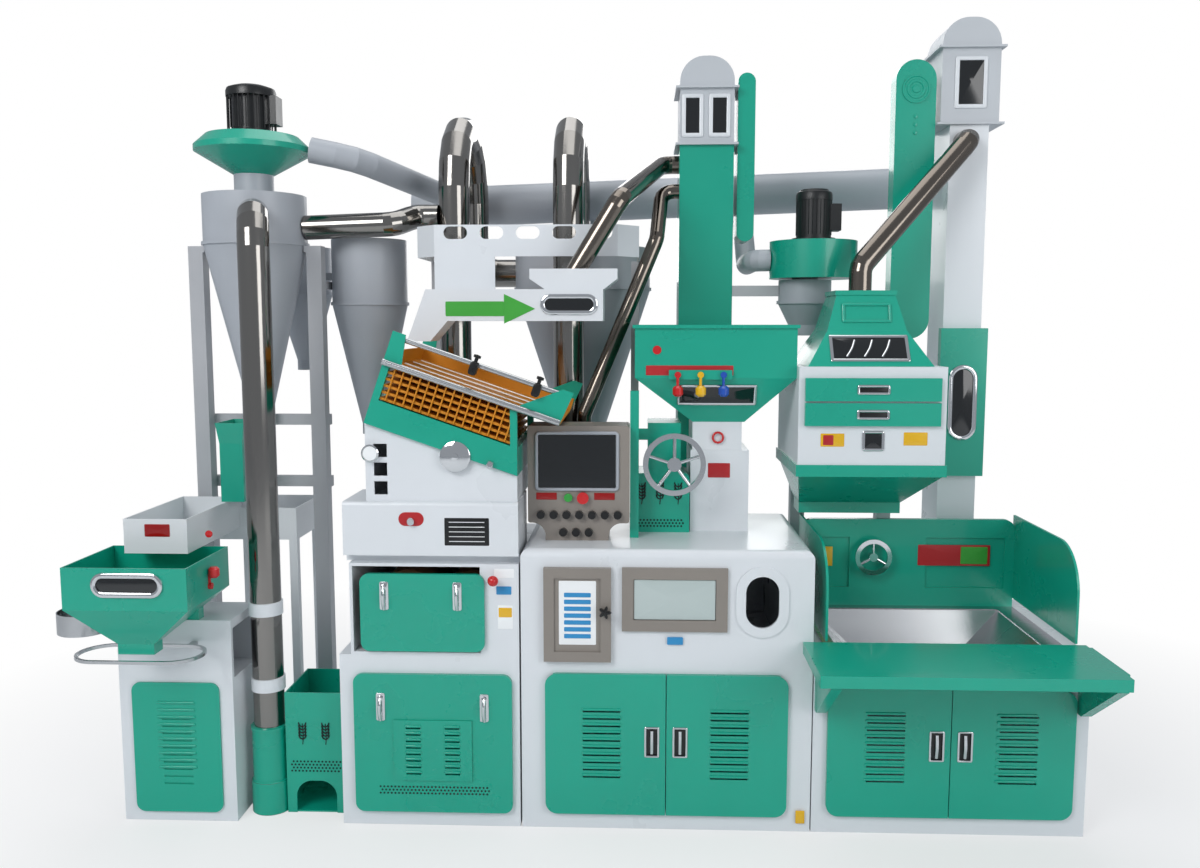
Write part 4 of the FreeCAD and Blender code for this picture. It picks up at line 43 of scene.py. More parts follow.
class Facing(Enum):
    """The way a fitting faces, as its right, up and outward directions."""

    FRONT = ((1, 0, 0), (0, 0, 1), (0, -1, 0))
    TOP = ((1, 0, 0), (0, 1, 0), (0, 0, 1))
    DECK = ((0.9455, 0, -0.3256), (0, 1, 0), (0.3256, 0, 0.9455))
    DECK_FRONT = ((0.9455, 0, -0.3256), (0.3256, 0, 0.9455), (0, -1, 0))
    HOOD = ((1, 0, 0), (0, 0.5547, 0.832), (0, -0.832, 0.5547))
    CROWN = ((1, 0, 0), (0, 0.2563, 0.9666), (0, -0.9666, 0.2563))
    HOPPER = ((1, 0, 0), (0, -0.4495, 0.8933), (0, -0.8933, -0.4495))


def linear(code: str) -> tuple[float, float, float, float]:
    """Turn an sRGB hex colour into linear light.

    Args:
        code: six hex digits.

    Returns:
        Red, green, blue and an alpha of one.
    """
    parts = [int(code[i : i + 2], 16) / 255 for i in (0, 2, 4)]
    return (*[p / 12.92 if p <= 0.04045 else ((p + 0.055) / 1.055) ** 2.4 for p in parts], 1.0)


def add(tree: bpy.types.NodeTree, kind: str, settings: dict | None = None,
        **links: object) -> bpy.types.Node:
    """Add one node with its settings and links.

    Args:
        tree: the material's node tree.
        kind: the node's type.
        settings: properties by name, and socket values by the socket's own name.
        links: output sockets by the input's name, with spaces as underscores.

    Returns:
        The new node.
    """
    made = tree.nodes.new(kind)
    for name, setting in (settings or {}).items():
        if name in made.inputs:
            made.inputs[name].default_value = setting
        else:
            setattr(made, name, setting)
    for name, socket in links.items():
        tree.links.new(socket, made.inputs[name.replace("_", " ")])
    return made


@dataclass(frozen=True)
class Zone:
    """A box of the part, in metres, that is painted another colour."""

    low: tuple[float, float, float]
    high: tuple[float, float, float]
    colour: str


@dataclass(frozen=True)
class Finish:
    """A surface finish: what the material is, how it was made and what that gives the eye."""

    name: str
    colour: str
    rough: float = 0.35
    metal: float = 0.0
    grain: float = 330.0
    relief: float = 0.0002
    drift: float = 0.05
    coat: float = 0.0
    glow: float = 0.0
    stretch: tuple[float, float, float] = (1.0, 1.0, 1.0)
    zones: tuple[Zone, ...] = field(default=())

    def material(self) -> bpy.types.Material:
        """Build the node material, or return the one already built."""
        if self.name in bpy.data.materials:
            return bpy.data.materials[self.name]
        made = bpy.data.materials.new(self.name)
        made.use_nodes = True
        tree = made.node_tree
        tree.nodes.clear()
        place = add(tree, "ShaderNodeTexCoord").outputs["Object"]
        along = add(tree, "ShaderNodeMapping", {"Scale": self.stretch}, Vector=place).outputs["Vector"]
        cloud = add(tree, "ShaderNodeTexNoise", {"Scale": 4.0, "Detail": 5.0}, Vector=along).outputs["Fac"]
        fine = add(tree, "ShaderNodeTexNoise", {"Scale": self.grain, "Detail": 3.0},
                   Vector=along).outputs["Fac"]
        base = linear(self.colour)
        low = tuple(c * (1 - 2 * self.drift) for c in base[:3]) + (1.0,)
        high = tuple(min(1.0, c * (1 + self.drift)) for c in base[:3]) + (1.0,)
        colour = add(tree, "ShaderNodeMix", {"data_type": "RGBA"})
        tree.links.new(cloud, colour.inputs[0])
        colour.inputs[6].default_value = low
        colour.inputs[7].default_value = high
        colour = colour.outputs[2]
        for zone in self.zones:
            colour = self.painted(tree, place, colour, zone)
        rough = add(
            tree, "ShaderNodeMapRange", {"From Min": 0.3, "From Max": 0.7, "To Min": self.rough * 0.8,
                                         "To Max": self.rough * 1.2},
            Value=cloud,
        ).outputs["Result"]
        bump = add(tree, "ShaderNodeBump", {"Strength": 0.35, "Distance": self.relief},
                   Height=fine).outputs["Normal"]
        shader = add(
            tree, "ShaderNodeBsdfPrincipled", {"Metallic": self.metal, "Coat Weight": self.coat,
                                               "Coat Roughness": 0.08},
            Base_Color=colour, Roughness=rough, Normal=bump,
        )
        if self.glow:
            shader.inputs["Emission Color"].default_value = base
            shader.inputs["Emission Strength"].default_value = self.glow
        add(tree, "ShaderNodeOutputMaterial", None, Surface=shader.outputs["BSDF"])
        made.diffuse_color = base
        return made

    def painted(
        self, tree: bpy.types.NodeTree, place: bpy.types.NodeSocket, under: bpy.types.NodeSocket, zone: Zone
    ) -> bpy.types.NodeSocket:
        """Mix a zone's colour over what lies under it.

        Args:
            tree: the material's node tree.
            place: the Object coordinates.
            under: the colour so far.
            zone: the box and its colour.

        Returns:
            The mixed colour, where inside means within half the box's size of its middle on all three axes.
        """
        middle = tuple((a + b) / 2 for a, b in zip(zone.low, zone.high))
        half = tuple((b - a) / 2 for a, b in zip(zone.low, zone.high))
        off = add(tree, "ShaderNodeVectorMath", {"operation": "SUBTRACT"})
        tree.links.new(place, off.inputs[0])
        off.inputs[1].default_value = middle
        size = add(tree, "ShaderNodeVectorMath", {"operation": "ABSOLUTE"})
        tree.links.new(off.outputs["Vector"], size.inputs[0])
        parts = add(tree, "ShaderNodeSeparateXYZ", None, Vector=size.outputs["Vector"])
        inside = None
        for axis in range(3):
            test = add(tree, "ShaderNodeMath", {"operation": "LESS_THAN"})
            tree.links.new(parts.outputs[axis], test.inputs[0])
            test.inputs[1].default_value = half[axis]
            if inside is None:
                inside = test.outputs["Value"]
            else:
                both = add(tree, "ShaderNodeMath", {"operation": "MULTIPLY"})
                tree.links.new(inside, both.inputs[0])
                tree.links.new(test.outputs["Value"], both.inputs[1])
                inside = both.outputs["Value"]
        mixed = add(tree, "ShaderNodeMix", {"data_type": "RGBA"})
        tree.links.new(inside, mixed.inputs[0])
        tree.links.new(under, mixed.inputs[6])
        mixed.inputs[7].default_value = linear(zone.colour)
        return mixed.outputs[2]


SHEET_GREEN, SHEET_WHITE, DECK_AMBER = "08A389", "DEE2E6", "D2860A"

# Sprayed enamel on sheet steel: a fine orange peel of about 3 mm and a soft gloss.
GREEN = Finish("green_enamel", SHEET_GREEN, rough=0.3, coat=0.3)
WHITE = Finish("white_enamel", SHEET_WHITE, rough=0.32, drift=0.02, coat=0.2)
GREY = Finish("grey_enamel", "A3A8AF", rough=0.38, drift=0.04)
TAUPE = Finish("hammered_taupe", "8C857E", rough=0.4, relief=0.0008, grain=160.0)
# Polished stainless tube: a mirror with faint streaks left along its length by the belt.
POLISHED = Finish("polished_stainless", "918E8A", rough=0.13, metal=1.0, stretch=(1.0, 1.0, 0.05),
                  drift=0.08)
BRUSHED = Finish("brushed_stainless", "C4C6C8", rough=0.27, metal=1.0, stretch=(0.06, 1.0, 1.0), drift=0.05)
# Plated steel: the sharpest mirror of the set, without grain.
CHROME = Finish("chromed_steel", "DCDEE0", rough=0.07, metal=1.0, relief=0.00005)
# Brushed-on motor enamel over cast ribs: black, with a slight texture.
MOTOR = Finish("black_motor_enamel", "17191B", rough=0.35, relief=0.0004)
# Baked enamel of the decks: deep and dull, scoured by the grain.
AMBER = Finish("amber_deck_enamel", DECK_AMBER, rough=0.55, drift=0.12)
# Injection-moulded plastics: even colours with a clear reflection of the lamps.
BLACK = Finish("black_moulded_plastic", "111213", rough=0.28, relief=0.0001)
RED = Finish("red_moulded_plastic", "C8181C", rough=0.2, coat=0.4)
YELLOW = Finish("yellow_moulded_plastic", "E8B418", rough=0.2, coat=0.4)
BLUE = Finish("blue_moulded_plastic", "1B4FB0", rough=0.2, coat=0.4)
LIME = Finish("green_moulded_plastic", "2E9E3C", rough=0.2, coat=0.4)
# Moulded rubber: dull and slightly grainy.
RUBBER = Finish("roll_rubber", "8A5A3A", rough=0.7, relief=0.0006)
# Cast acrylic: very smooth, with a sharp reflection.
SMOKED = Finish("smoked_acrylic", "0D1114", rough=0.06, relief=0.00002, coat=0.6)
DISPLAY = Finish("red_led_display", "7A0A0A", rough=0.12, glow=0.5)
# Screen-printed film: flat colours with a low, even sheen.
PLATE_BLUE = Finish("blue_printed_film", "2F8FC8", rough=0.35)
PLATE_PALE = Finish("white_printed_film", "F2F4F5", rough=0.35, drift=0.01)
PLATE_RED = Finish("red_printed_film", "B52025", rough=0.35)
PLATE_LEAF = Finish("green_printed_film", "3FA53A", rough=0.35)
PANE = Finish("window_acrylic", "B9C6C4", rough=0.08, relief=0.00002, coat=0.5)
POST = Finish("post_enamel", "B4B6BA", rough=0.4, drift=0.05)
# The shade inside a small opening.
HOLE = Finish("shaded_opening", "06201C", rough=0.9)

OUTLET = Finish("white_enamel_outlet", SHEET_WHITE, rough=0.32, drift=0.02, coat=0.2,
                zones=(Zone((-1.80, -0.36, 0.03), (-1.49, -0.3501, 0.49), SHEET_GREEN),))
HEADS = Finish("pale_grey_enamel", "BFC4C9", rough=0.36, drift=0.03)
CYCLONE = Finish("cyclone_grey_enamel", "AEB3BA", rough=0.4, drift=0.05)
DECKS = Finish("deck_enamel", DECK_AMBER, rough=0.65, drift=0.12)
TRAY = Finish("white_enamel_tray", "E2E5E8", rough=0.34, drift=0.03)
SIDE = Finish("separator_enamel", SHEET_GREEN, rough=0.32, coat=0.2)
PIPE_DARK = Finish("bronze_tinted_stainless", "7D756D", rough=0.15, metal=1.0, drift=0.1)

DRESS = {
    WHITE: "mill_cabinet mill_column huller_lower_cabinet huller_upper_cabinet huller_head_box separator_base feed_chute "
    "lattice_frame right_elevator grader_cabinet intake_cabinet",
    GREEN: "mill_guard mill_hopper huller_panel_upper huller_panel_lower centre_elevator belt_guards grader_hood "
    "grader_funnel drawer_upper drawer_lower intake_back intake_door_left intake_door_right shelf outlet_hopper bran_bin "
    "fan_housings crusher mill_door_left mill_door_right",
    SIDE: "separator_case",
    HEADS: "elevator_heads",
    CYCLONE: "cyclones dust_ducts",
    TAUPE: "sight_windows control_housing chart_door",
    POST: "support_posts",
    SMOKED: "control_screen",
    BLACK: "selector_knobs",
    LIME: "start_button",
    RED: "stop_button lever_red outlet_lever",
    YELLOW: "lever_yellow",
    BLUE: "lever_blue",
    RUBBER: "fixed_roll moving_roll",
    DECKS: "separator_decks",
    BRUSHED: "separator_rail intake_hopper bag_hoop",
    TRAY: "stone_tray",
    POLISHED: "suction_pipes",
    PIPE_DARK: "grain_spouts",
    CHROME: "mill_handwheel intake_handwheel",
    MOTOR: "fan_motors",
    OUTLET: "outlet_cabinet",
}


class Shape:
    """Grids of points gathered into one closed or open mesh."""

    def __init__(self) -> None:
        """Start with no points."""
        self.points: list[np.ndarray] = []
        self.faces: list[np.ndarray] = []
        self.count = 0

    def grid(self, points: np.ndarray, capped: bool = True) -> None:
        """Take a grid whose columns close on themselves, and cap its first and last row with a fan.

        Args:
            points: rows by columns by three.
            capped: whether the ends are closed.
        """
        rows, columns, _ = points.shape
        base = self.count
        row, column = np.meshgrid(np.arange(rows - 1), np.arange(columns), indexing="ij")
        after = (column + 1) % columns
        quads = np.stack(
            [row * columns + column, row * columns + after, (row + 1) * columns + after,
             (row + 1) * columns + column], -1
        ).reshape(-1, 4)
        self.points.append(points.reshape(-1, 3))
        self.faces.append(base + quads)
        self.count += rows * columns
        if capped:
            edge = np.arange(columns)
            for first, turn in ((0, -1), ((rows - 1) * columns, 1)):
                self.points.append(points.reshape(-1, 3)[first : first + columns].mean(0)[None])
                fan = np.stack([base + first + edge, base + first + np.roll(edge, -1),
                                np.full(columns, self.count)], -1)
                self.faces.append(fan[:, ::turn])
                self.count += 1

    def build(self, name: str, finish: Finish, body: str = MILL, smooth: bool = True) -> bpy.types.Object:
        """Write the gathered points into one object that rides on a body.

        Args:
            name: the piece's name.
            finish: what it is made of.
            body: the body that carries it.
            smooth: whether its faces shade smoothly up to 40 degrees.

        Returns:
            The new piece.
        """
        mesh = bpy.data.meshes.new(name)
        faces = [tuple(face) for group in self.faces for face in group.tolist()]
        mesh.from_pydata(np.concatenate(self.points).tolist(), [], faces)
        mesh.update()
        mesh.materials.append(finish.material())
        if smooth:
            mesh.shade_smooth()
            mesh.set_sharp_from_angle(angle=math.radians(40))
        made = bpy.data.objects.new(name, mesh)
        bpy.context.scene.collection.objects.link(made)
        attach(made, body)
        LOG.info("built %s with %d faces", name, len(faces))
        return made


def outline(width: float, height: float, corner: float, steps: int = 6) -> np.ndarray:
    """A rounded rectangle: four quarter circles joined by straight runs, anticlockwise.

    Args:
        width: along x.
        height: along y.
        corner: the corners' radius.
        steps: points in each quarter circle.

    Returns:
        Points by two.
    """
    corner = min(corner, width / 2 - 1e-5, height / 2 - 1e-5)
    angle = (np.arange(4)[:, None] * (math.pi / 2) + np.linspace(0, math.pi / 2, steps)[None]).ravel()
    side_x = np.repeat([1, -1, -1, 1], steps) * (width / 2 - corner)
    side_y = np.repeat([1, 1, -1, -1], steps) * (height / 2 - corner)
    return np.stack([side_x + corner * np.cos(angle), side_y + corner * np.sin(angle)], -1)


def seat(points: np.ndarray, at: tuple[float, float, float], facing: Facing) -> np.ndarray:
    """Carry points from a fitting's own right, up and outward axes to its place on the machine."""
    return np.asarray(at) + points @ np.asarray(facing.value, float)


def plate(
    shape: Shape, at: tuple[float, float, float], size: tuple[float, float], thick: float, corner: float,
    facing: Facing = Facing.FRONT, bevel: float = 0.0015,
) -> None:
    """A rounded slab: its outline carried up a side and then round a quarter-circle edge to its face.

    Args:
        shape: where it goes.
        at: the middle of its back.
        size: its width and height.
        thick: its thickness.
        corner: its corners' radius.
        facing: the way it faces.
        bevel: the radius of the edge.
    """
    bevel = min(bevel, thick * 0.9, min(size) * 0.4)
    turn = np.linspace(0, math.pi / 2, 4)
    inset = np.concatenate([[0.0], bevel * (1 - np.cos(turn))])
    rise = np.concatenate([[0.0], thick - bevel + bevel * np.sin(turn)])
    rows = [
        np.column_stack([outline(size[0] - 2 * i, size[1] - 2 * i, max(corner - i, 1e-4)), np.full(24, z)])
        for i, z in zip(inset, rise)
    ]
    shape.grid(seat(np.stack(rows), at, facing))


def surround(
    shape: Shape, at: tuple[float, float, float], size: tuple[float, float], rim: float, thick: float,
    corner: float,
    facing: Facing = Facing.FRONT,
) -> None:
    """A raised frame round an opening: a half-round section carried round a rounded rectangle.

    Args:
        shape: where it goes.
        at: the middle of its back.
        size: its outer width and height.
        rim: the width of its section.
        thick: how far it stands out.
        corner: its outer corners' radius.
        facing: the way it faces.
    """
    turn = np.linspace(0, math.pi, 7)
    inset = np.concatenate([rim / 2 * (1 - np.cos(turn)), [0.0]])
    rise = np.concatenate([0.0005 + thick * np.sin(turn) ** 0.6, [0.0005]])
    rows = [
        np.column_stack([outline(size[0] - 2 * i, size[1] - 2 * i, max(corner - i, 1e-4), 8),
                         np.full(32, z)])
        for i, z in zip(inset, rise)
    ]
    shape.grid(seat(np.stack(rows), at, facing), capped=False)


def turned(
    shape: Shape, at: tuple[float, float, float], profile: list[tuple[float, float]],
    facing: Facing = Facing.FRONT,
    sides: int = 24,
) -> None:
    """A turned form: each pair of radius and height swept round the outward axis.

    Args:
        shape: where it goes.
        at: the foot of its axis.
        profile: radius and height from foot to top.
        facing: the way its axis points.
        sides: points round the circle.
    """
    angle = np.linspace(0, 2 * math.pi, sides, endpoint=False)
    line = np.asarray(profile)
    radius = np.maximum(line[:, :1], 1e-5)
    points = np.stack(
        [radius * np.cos(angle), radius * np.sin(angle),
         np.broadcast_to(line[:, 1:], (len(line), sides))], -1
    )
    shape.grid(seat(points, at, facing))


def run(shape: Shape, path: list[tuple[float, float, float]], radius: float, steps: int = 40,
        sides: int = 10) -> None:
    """A round bar along a smooth line: a circle carried square to a curve that eases between its points.

    Args:
        shape: where it goes.
        path: the points that it passes.
        radius: of the bar.
        steps: rings along the line.
        sides: points round it.
    """
    spots = np.asarray(path, float)
    spots = np.vstack([2 * spots[0] - spots[1], spots, 2 * spots[-1] - spots[-2]])
    t = np.linspace(0, len(path) - 1 - 1e-6, steps)
    k = t.astype(int)
    u = (t - k)[:, None]
    a, b, c, d = spots[k], spots[k + 1], spots[k + 2], spots[k + 3]
    line = 0.5 * (2 * b + (c - a) * u + (2 * a - 5 * b + 4 * c - d) * u**2 + (3 * b - a - 3 * c + d) * u**3)
    ahead = np.gradient(line, axis=0)
    ahead /= np.linalg.norm(ahead, axis=1, keepdims=True)
    span = spots.max(0) - spots.min(0)
    aside = np.zeros(3)
    aside[int(np.argmin(span))] = 1
    first = np.cross(ahead, aside)
    first /= np.linalg.norm(first, axis=1, keepdims=True)
    second = np.cross(ahead, first)
    angle = np.linspace(0, 2 * math.pi, sides, endpoint=False)[None, :, None]
    shape.grid(line[:, None] + radius * (np.cos(angle) * first[:, None] + np.sin(angle) * second[:, None]))


@dataclass
class Cabinets:
    """The latches, badges, gauges and plates of the huller, mill and intake cabinets."""

    front: float = -0.350
    leaf: float = -0.3663
    latch: tuple[float, float] = (0.030, 0.095)
    bolt: float = 0.006

    def latches(self) -> None:
        """Toggle latches: a base plate, a bowed lever and a hook at the top of each."""
        for body, face, height, places in (
            ("huller_panel_lower", -0.3663, 0.417, (-0.949, -0.602)),
            ("huller_panel_upper", -0.3663, 0.795, (-0.929, -0.687)),
        ):
            shape = Shape()
            for x in places:
                plate(shape, (x, face, height), self.latch, 0.003, 0.006)
                bow = [(x, face - 0.004, height - 0.044), (x, face - 0.016, height - 0.02),
                       (x, face - 0.018, height + 0.01),
                       (x, face - 0.007, height + 0.036)]
                run(shape, bow, 0.006)
                turned(shape, (x, face - 0.003, height + 0.03),
                       [(0.01, 0), (0.01, 0.008), (0.004, 0.011), (0, 0.011)])
                turned(shape, (x, face - 0.003, height - 0.036), [(0.005, 0), (0.005, 0.003), (0, 0.005)])
            shape.build(f"latches_{body}", CHROME, body)

    def louvres(self) -> None:
        """Pressed louvre hoods: a rounded bar over each slot, as wide as the slot."""
        for body, middle, low, width, pitch, count, face in (
            ("mill_door_left", -0.213, 0.182, 0.124, 0.025, 10, self.leaf),
            ("mill_door_right", 0.209, 0.182, 0.124, 0.025, 10, self.leaf),
            ("intake_door_left", 0.717, 0.182, 0.124, 0.025, 10, self.leaf),
            ("intake_door_right", 1.141, 0.182, 0.124, 0.025, 10, self.leaf),
            ("huller_panel_lower", -0.8405, 0.185, 0.0496, 0.0225, 8, -0.3723),
            ("huller_panel_lower", -0.7095, 0.185, 0.0496, 0.0225, 8, -0.3723),
            (MILL, -1.646, 0.182, 0.124, 0.025, 10, -0.358),
        ):
            shape = Shape()
            for index in range(count):
                plate(shape, (middle, face, low + 0.0105 + index * pitch), (width + 0.006, 0.009), 0.0045,
                      0.0045, bevel=0.004)
            shape.build(f"louvres_{body}_{round(-middle * 1000 + 2000)}", GREEN, body)

    def pulls(self) -> None:
        """Recessed door pulls: a chromed frame round a hollow beside each leaf's free edge; the hollow is a flat
        black plate, its darkness painted shade.
        """
        for body, x in (("mill_door_left", -0.0465), ("mill_door_right", 0.0465),
                        ("intake_door_left", 0.885),
                        ("intake_door_right", 0.977)):
            shape = Shape()
            surround(shape, (x, self.leaf, 0.3085), (0.05, 0.105), 0.007, 0.004, 0.006)
            run(shape, [(x, self.leaf - 0.001, 0.347), (x, self.leaf - 0.006, 0.3085),
                        (x, self.leaf - 0.001, 0.27)], 0.006, 12, 10)
            shape.build(f"pull_frame_{body}", CHROME, body)
            shape = Shape()
            # The hollow: a flat black plate two millimetres behind the leaf, its darkness painted shade of the
            # recess.
            plate(shape, (x, self.leaf + 0.011, 0.3085), (0.042, 0.097), 0.009, 0.004)
            shape.build(f"pull_hollow_{body}", BLACK, body)

    def perforations(self) -> None:
        """Bands of round air holes at the feet of the lower panel and the bran bin, and on the guard."""
        for name, body, at, columns, rows, pitch in (
            ("panel_air_holes", "huller_panel_lower", (-0.955, -0.3664, 0.118), 30, 3, 0.0124),
            ("guard_air_holes", MILL, (-0.110, -0.0504, 0.972), 15, 3, 0.012),
            ("bin_air_holes", MILL, (-1.285, -0.2784, 0.150), 14, 4, 0.0125),
        ):
            shape = Shape()
            for index in range(columns * rows):
                x = at[0] + (index % columns) * pitch + (index // columns % 2) * pitch / 2
                turned(shape, (x, at[1], at[2] + index // columns * pitch * 0.9),
                       [(0.0036, 0), (0.0036, 0.0003), (0, 0.0003)],
                       sides=8)
            shape.build(name, HOLE, body, smooth=False)

    def ears(self) -> None:
        """Pairs of pressed wheat ears: a stalk with pointed grains in a herringbone."""
        for name, spots, face, low in (
            ("guard_ears", (-0.082, -0.018, 0.046), -0.0503, 1.05),
            ("bin_ears", (-1.245, -1.165), -0.2783, 0.245),
        ):
            shape = Shape()
            for x in spots:
                run(shape, [(x, face, low), (x + 0.002, face, low + 0.03), (x, face, low + 0.075)],
                    0.0016, 10, 6)
                for step in range(5):
                    for side in (-1, 1):
                        foot = (x, face, low + 0.018 + step * 0.011)
                        tip = (x + side * 0.013, face, low + 0.034 + step * 0.011)
                        middle = (x + side * 0.009, face - 0.002, low + 0.024 + step * 0.011)
                        run(shape, [foot, middle, tip], 0.0024, 6, 6)
            shape.build(name, BLACK)

    def badges(self) -> None:
        """Bare coloured plates where such machines carry their labels."""
        chart = [((-0.292, -0.3645, 0.665 + 0.023 * row), (0.088, 0.015)) for row in range(7)]
        for name, body, finish, plates in (
            ("chart_sheet", "chart_door", PLATE_PALE, [((-0.292, -0.3637, 0.743), (0.122, 0.214))]),
            ("chart_rows", "chart_door", PLATE_BLUE, chart),
            ("slot_plate", MILL, PLATE_PALE, [((-0.534, self.front, 0.869), (0.066, 0.03)),
                                              ((-0.531, self.front, 0.722), (0.05, 0.08))]),
            ("arrow_plates", MILL, PLATE_BLUE,
             [((-0.535, self.front, 0.812), (0.05, 0.028)), ((0.028, -0.3563, 0.650), (0.052, 0.026))]),
            ("yellow_plates", MILL, YELLOW, [((-0.531, self.front - 0.0008, 0.738), (0.044, 0.032)),
                                             ((0.447, -0.3563, 0.053), (0.03, 0.045)),
                                             ((0.842, -0.1503, 1.297), (0.08, 0.045)),
                                             ((0.563, -0.1503, 1.292), (0.08, 0.045)),
                                             ((0.587, 0.2257, 0.806), (0.115, 0.075))]),
            ("red_plates", MILL, PLATE_RED, [((0.08, -0.1003, 1.525), (0.30, 0.034)),
                                             ((0.191, -0.0203, 1.168), (0.078, 0.052)),
                                             ((1.10, 0.2257, 0.813), (0.27, 0.08)),
                                             ((0.549, -0.1511, 1.292), (0.035, 0.034))]),
            ("leaf_plates", MILL, PLATE_LEAF, [((1.175, 0.2249, 0.813), (0.10, 0.066))]),
            ("dark_plates", MILL, BLACK, [((-0.655, self.front, 1.007), (0.147, 0.092))]),
            ("dark_plate_rows", MILL, PLATE_PALE,
             [((-0.655, self.front - 0.0009, 0.975 + 0.016 * row), (0.118, 0.0025)) for row in range(5)]),
        ):
            shape = Shape()
            for at, size in plates:
                plate(shape, at, size, 0.0008, 0.003)
            shape.build(name, finish, body)
        shape = Shape()
        turned(shape, (-0.032, -0.1003, 1.595), [(0.015, 0), (0.015, 0.002), (0, 0.003)])
        turned(shape, (-1.512, self.front, 0.994), [(0.012, 0), (0.012, 0.003), (0, 0.004)])
        surround(shape, (0.186, -0.0203, 1.285), (0.044, 0.044), 0.008, 0.004, 0.022)
        shape.build("red_rings", RED)

    def arrow(self) -> None:
        """The green flow arrow on the chute: a thin bar with a three-cornered head, raised a little."""
        shape = Shape()
        plate(shape, (-0.652, -0.1453, 1.735), (0.20, 0.05), 0.0012, 0.004)
        head = np.asarray([(-0.05, -0.05), (0.056, 0.0), (-0.05, 0.05)])
        rows = [np.column_stack([head * share, np.full(3, rise)]) for share,
                rise in ((1, 0), (1, 0.0012), (0.96, 0.0016))]
        shape.grid(seat(np.stack(rows), (-0.502, -0.1453, 1.735), Facing.FRONT))
        shape.build("flow_arrow", PLATE_LEAF, smooth=False)

    def dial(self) -> None:
        """The red fan-shaped dial with its pointer knob, and the ball of the roll lever."""
        shape = Shape()
        plate(shape, (-0.838, self.front, 1.048), (0.084, 0.046), 0.0015, 0.023)
        shape.build("feed_dial_face", PLATE_RED)
        shape = Shape()
        turned(shape, (-0.838, self.front - 0.0015, 1.042),
               [(0.013, 0), (0.013, 0.012), (0.010, 0.016), (0, 0.016)])
        shape.build("feed_dial_knob", CHROME)
        shape = Shape()
        turned(shape, (-0.566, self.front, 0.852),
               [(0.006, 0), (0.006, 0.022), (0.014, 0.026), (0.018, 0.036), (0.014, 0.047),
                                                     (0.006, 0.052), (0, 0.053)])
        shape.build("roll_lever_ball", RED)

    def gauge(self) -> None:
        """The round pressure gauge on the separator's side plate, with its bezel and pale face."""
        shape = Shape()
        turned(shape, (-0.970, -0.330, 1.264),
               [(0.026, 0), (0.029, 0.004), (0.029, 0.018), (0.025, 0.021), (0.024, 0.018), (0, 0.018)])
        shape.build("gauge_case", CHROME)
        shape = Shape()
        turned(shape, (-0.970, -0.3478, 1.264), [(0.0235, 0), (0.0235, 0.0008), (0, 0.0008)])
        shape.build("gauge_face", PLATE_PALE)

    def chart_knob(self) -> None:
        """The five-lobed clamping knob of the chart door: a radius that swells five times round."""
        shape = Shape()
        angle = np.linspace(0, 2 * math.pi, 60, endpoint=False)
        lobes = 0.016 + 0.006 * np.cos(5 * angle)
        levels = np.asarray([(0.4, 0.0), (0.45, 0.01), (0.95, 0.013), (1.0, 0.018), (0.95, 0.024),
                             (0.4, 0.027)])
        points = np.stack([levels[:, :1] * lobes * np.cos(angle), levels[:, :1] * lobes * np.sin(angle),
                           np.broadcast_to(levels[:, 1:], (6, 60))], -1)
        shape.grid(seat(points, (-0.201, -0.3703, 0.752), Facing.FRONT))
        shape.build("chart_knob", BLACK, "chart_door")

    def windows(self) -> None:
        """Panes and raised rims of the mill's windows, and the panel's displays."""
        rims, panes = Shape(), Shape()
        surround(rims, (0.176, -0.0709, 1.440), (0.275, 0.082), 0.010, 0.004, 0.006, Facing.HOPPER)
        plate(panes, (0.176, -0.0709, 1.440), (0.257, 0.064), 0.002, 0.004, Facing.HOPPER)
        surround(rims, (-1.689, -0.5603, 0.872), (0.231, 0.08), 0.018, 0.008, 0.04)
        plate(panes, (-1.689, -0.5603, 0.872), (0.197, 0.046), 0.002, 0.022)
        surround(rims, (-0.331, -0.1453, 1.7495), (0.196, 0.071), 0.016, 0.006, 0.035)
        plate(panes, (-0.331, -0.1453, 1.7495), (0.166, 0.041), 0.002, 0.02)
        surround(rims, (1.14, 0.3240, 1.385), (0.11, 0.29), 0.018, 0.007, 0.055)
        plate(panes, (1.14, 0.3240, 1.385), (0.076, 0.256), 0.002, 0.037)
        rims.build("round_ended_rims", CHROME)
        panes.build("round_ended_panes", SMOKED)
        shape = Shape()
        plate(shape, (0.026, -0.3563, 0.788), (0.266, 0.133), 0.002, 0.004)
        shape.build("mill_window_pane", PANE)
        shape = Shape()
        for x in (-0.406, -0.209):
            plate(shape, (x, -0.2003, 1.102), (0.07, 0.024), 0.002, 0.002)
        plate(shape, (-1.686, self.front, 1.004), (0.085, 0.042), 0.002, 0.003)
        shape.build("panel_displays", DISPLAY)
        shape = Shape()
        surround(shape, (-0.302, -0.2003, 1.222), (0.286, 0.204), 0.012, 0.008, 0.016)
        shape.build("screen_bezel", GREY)


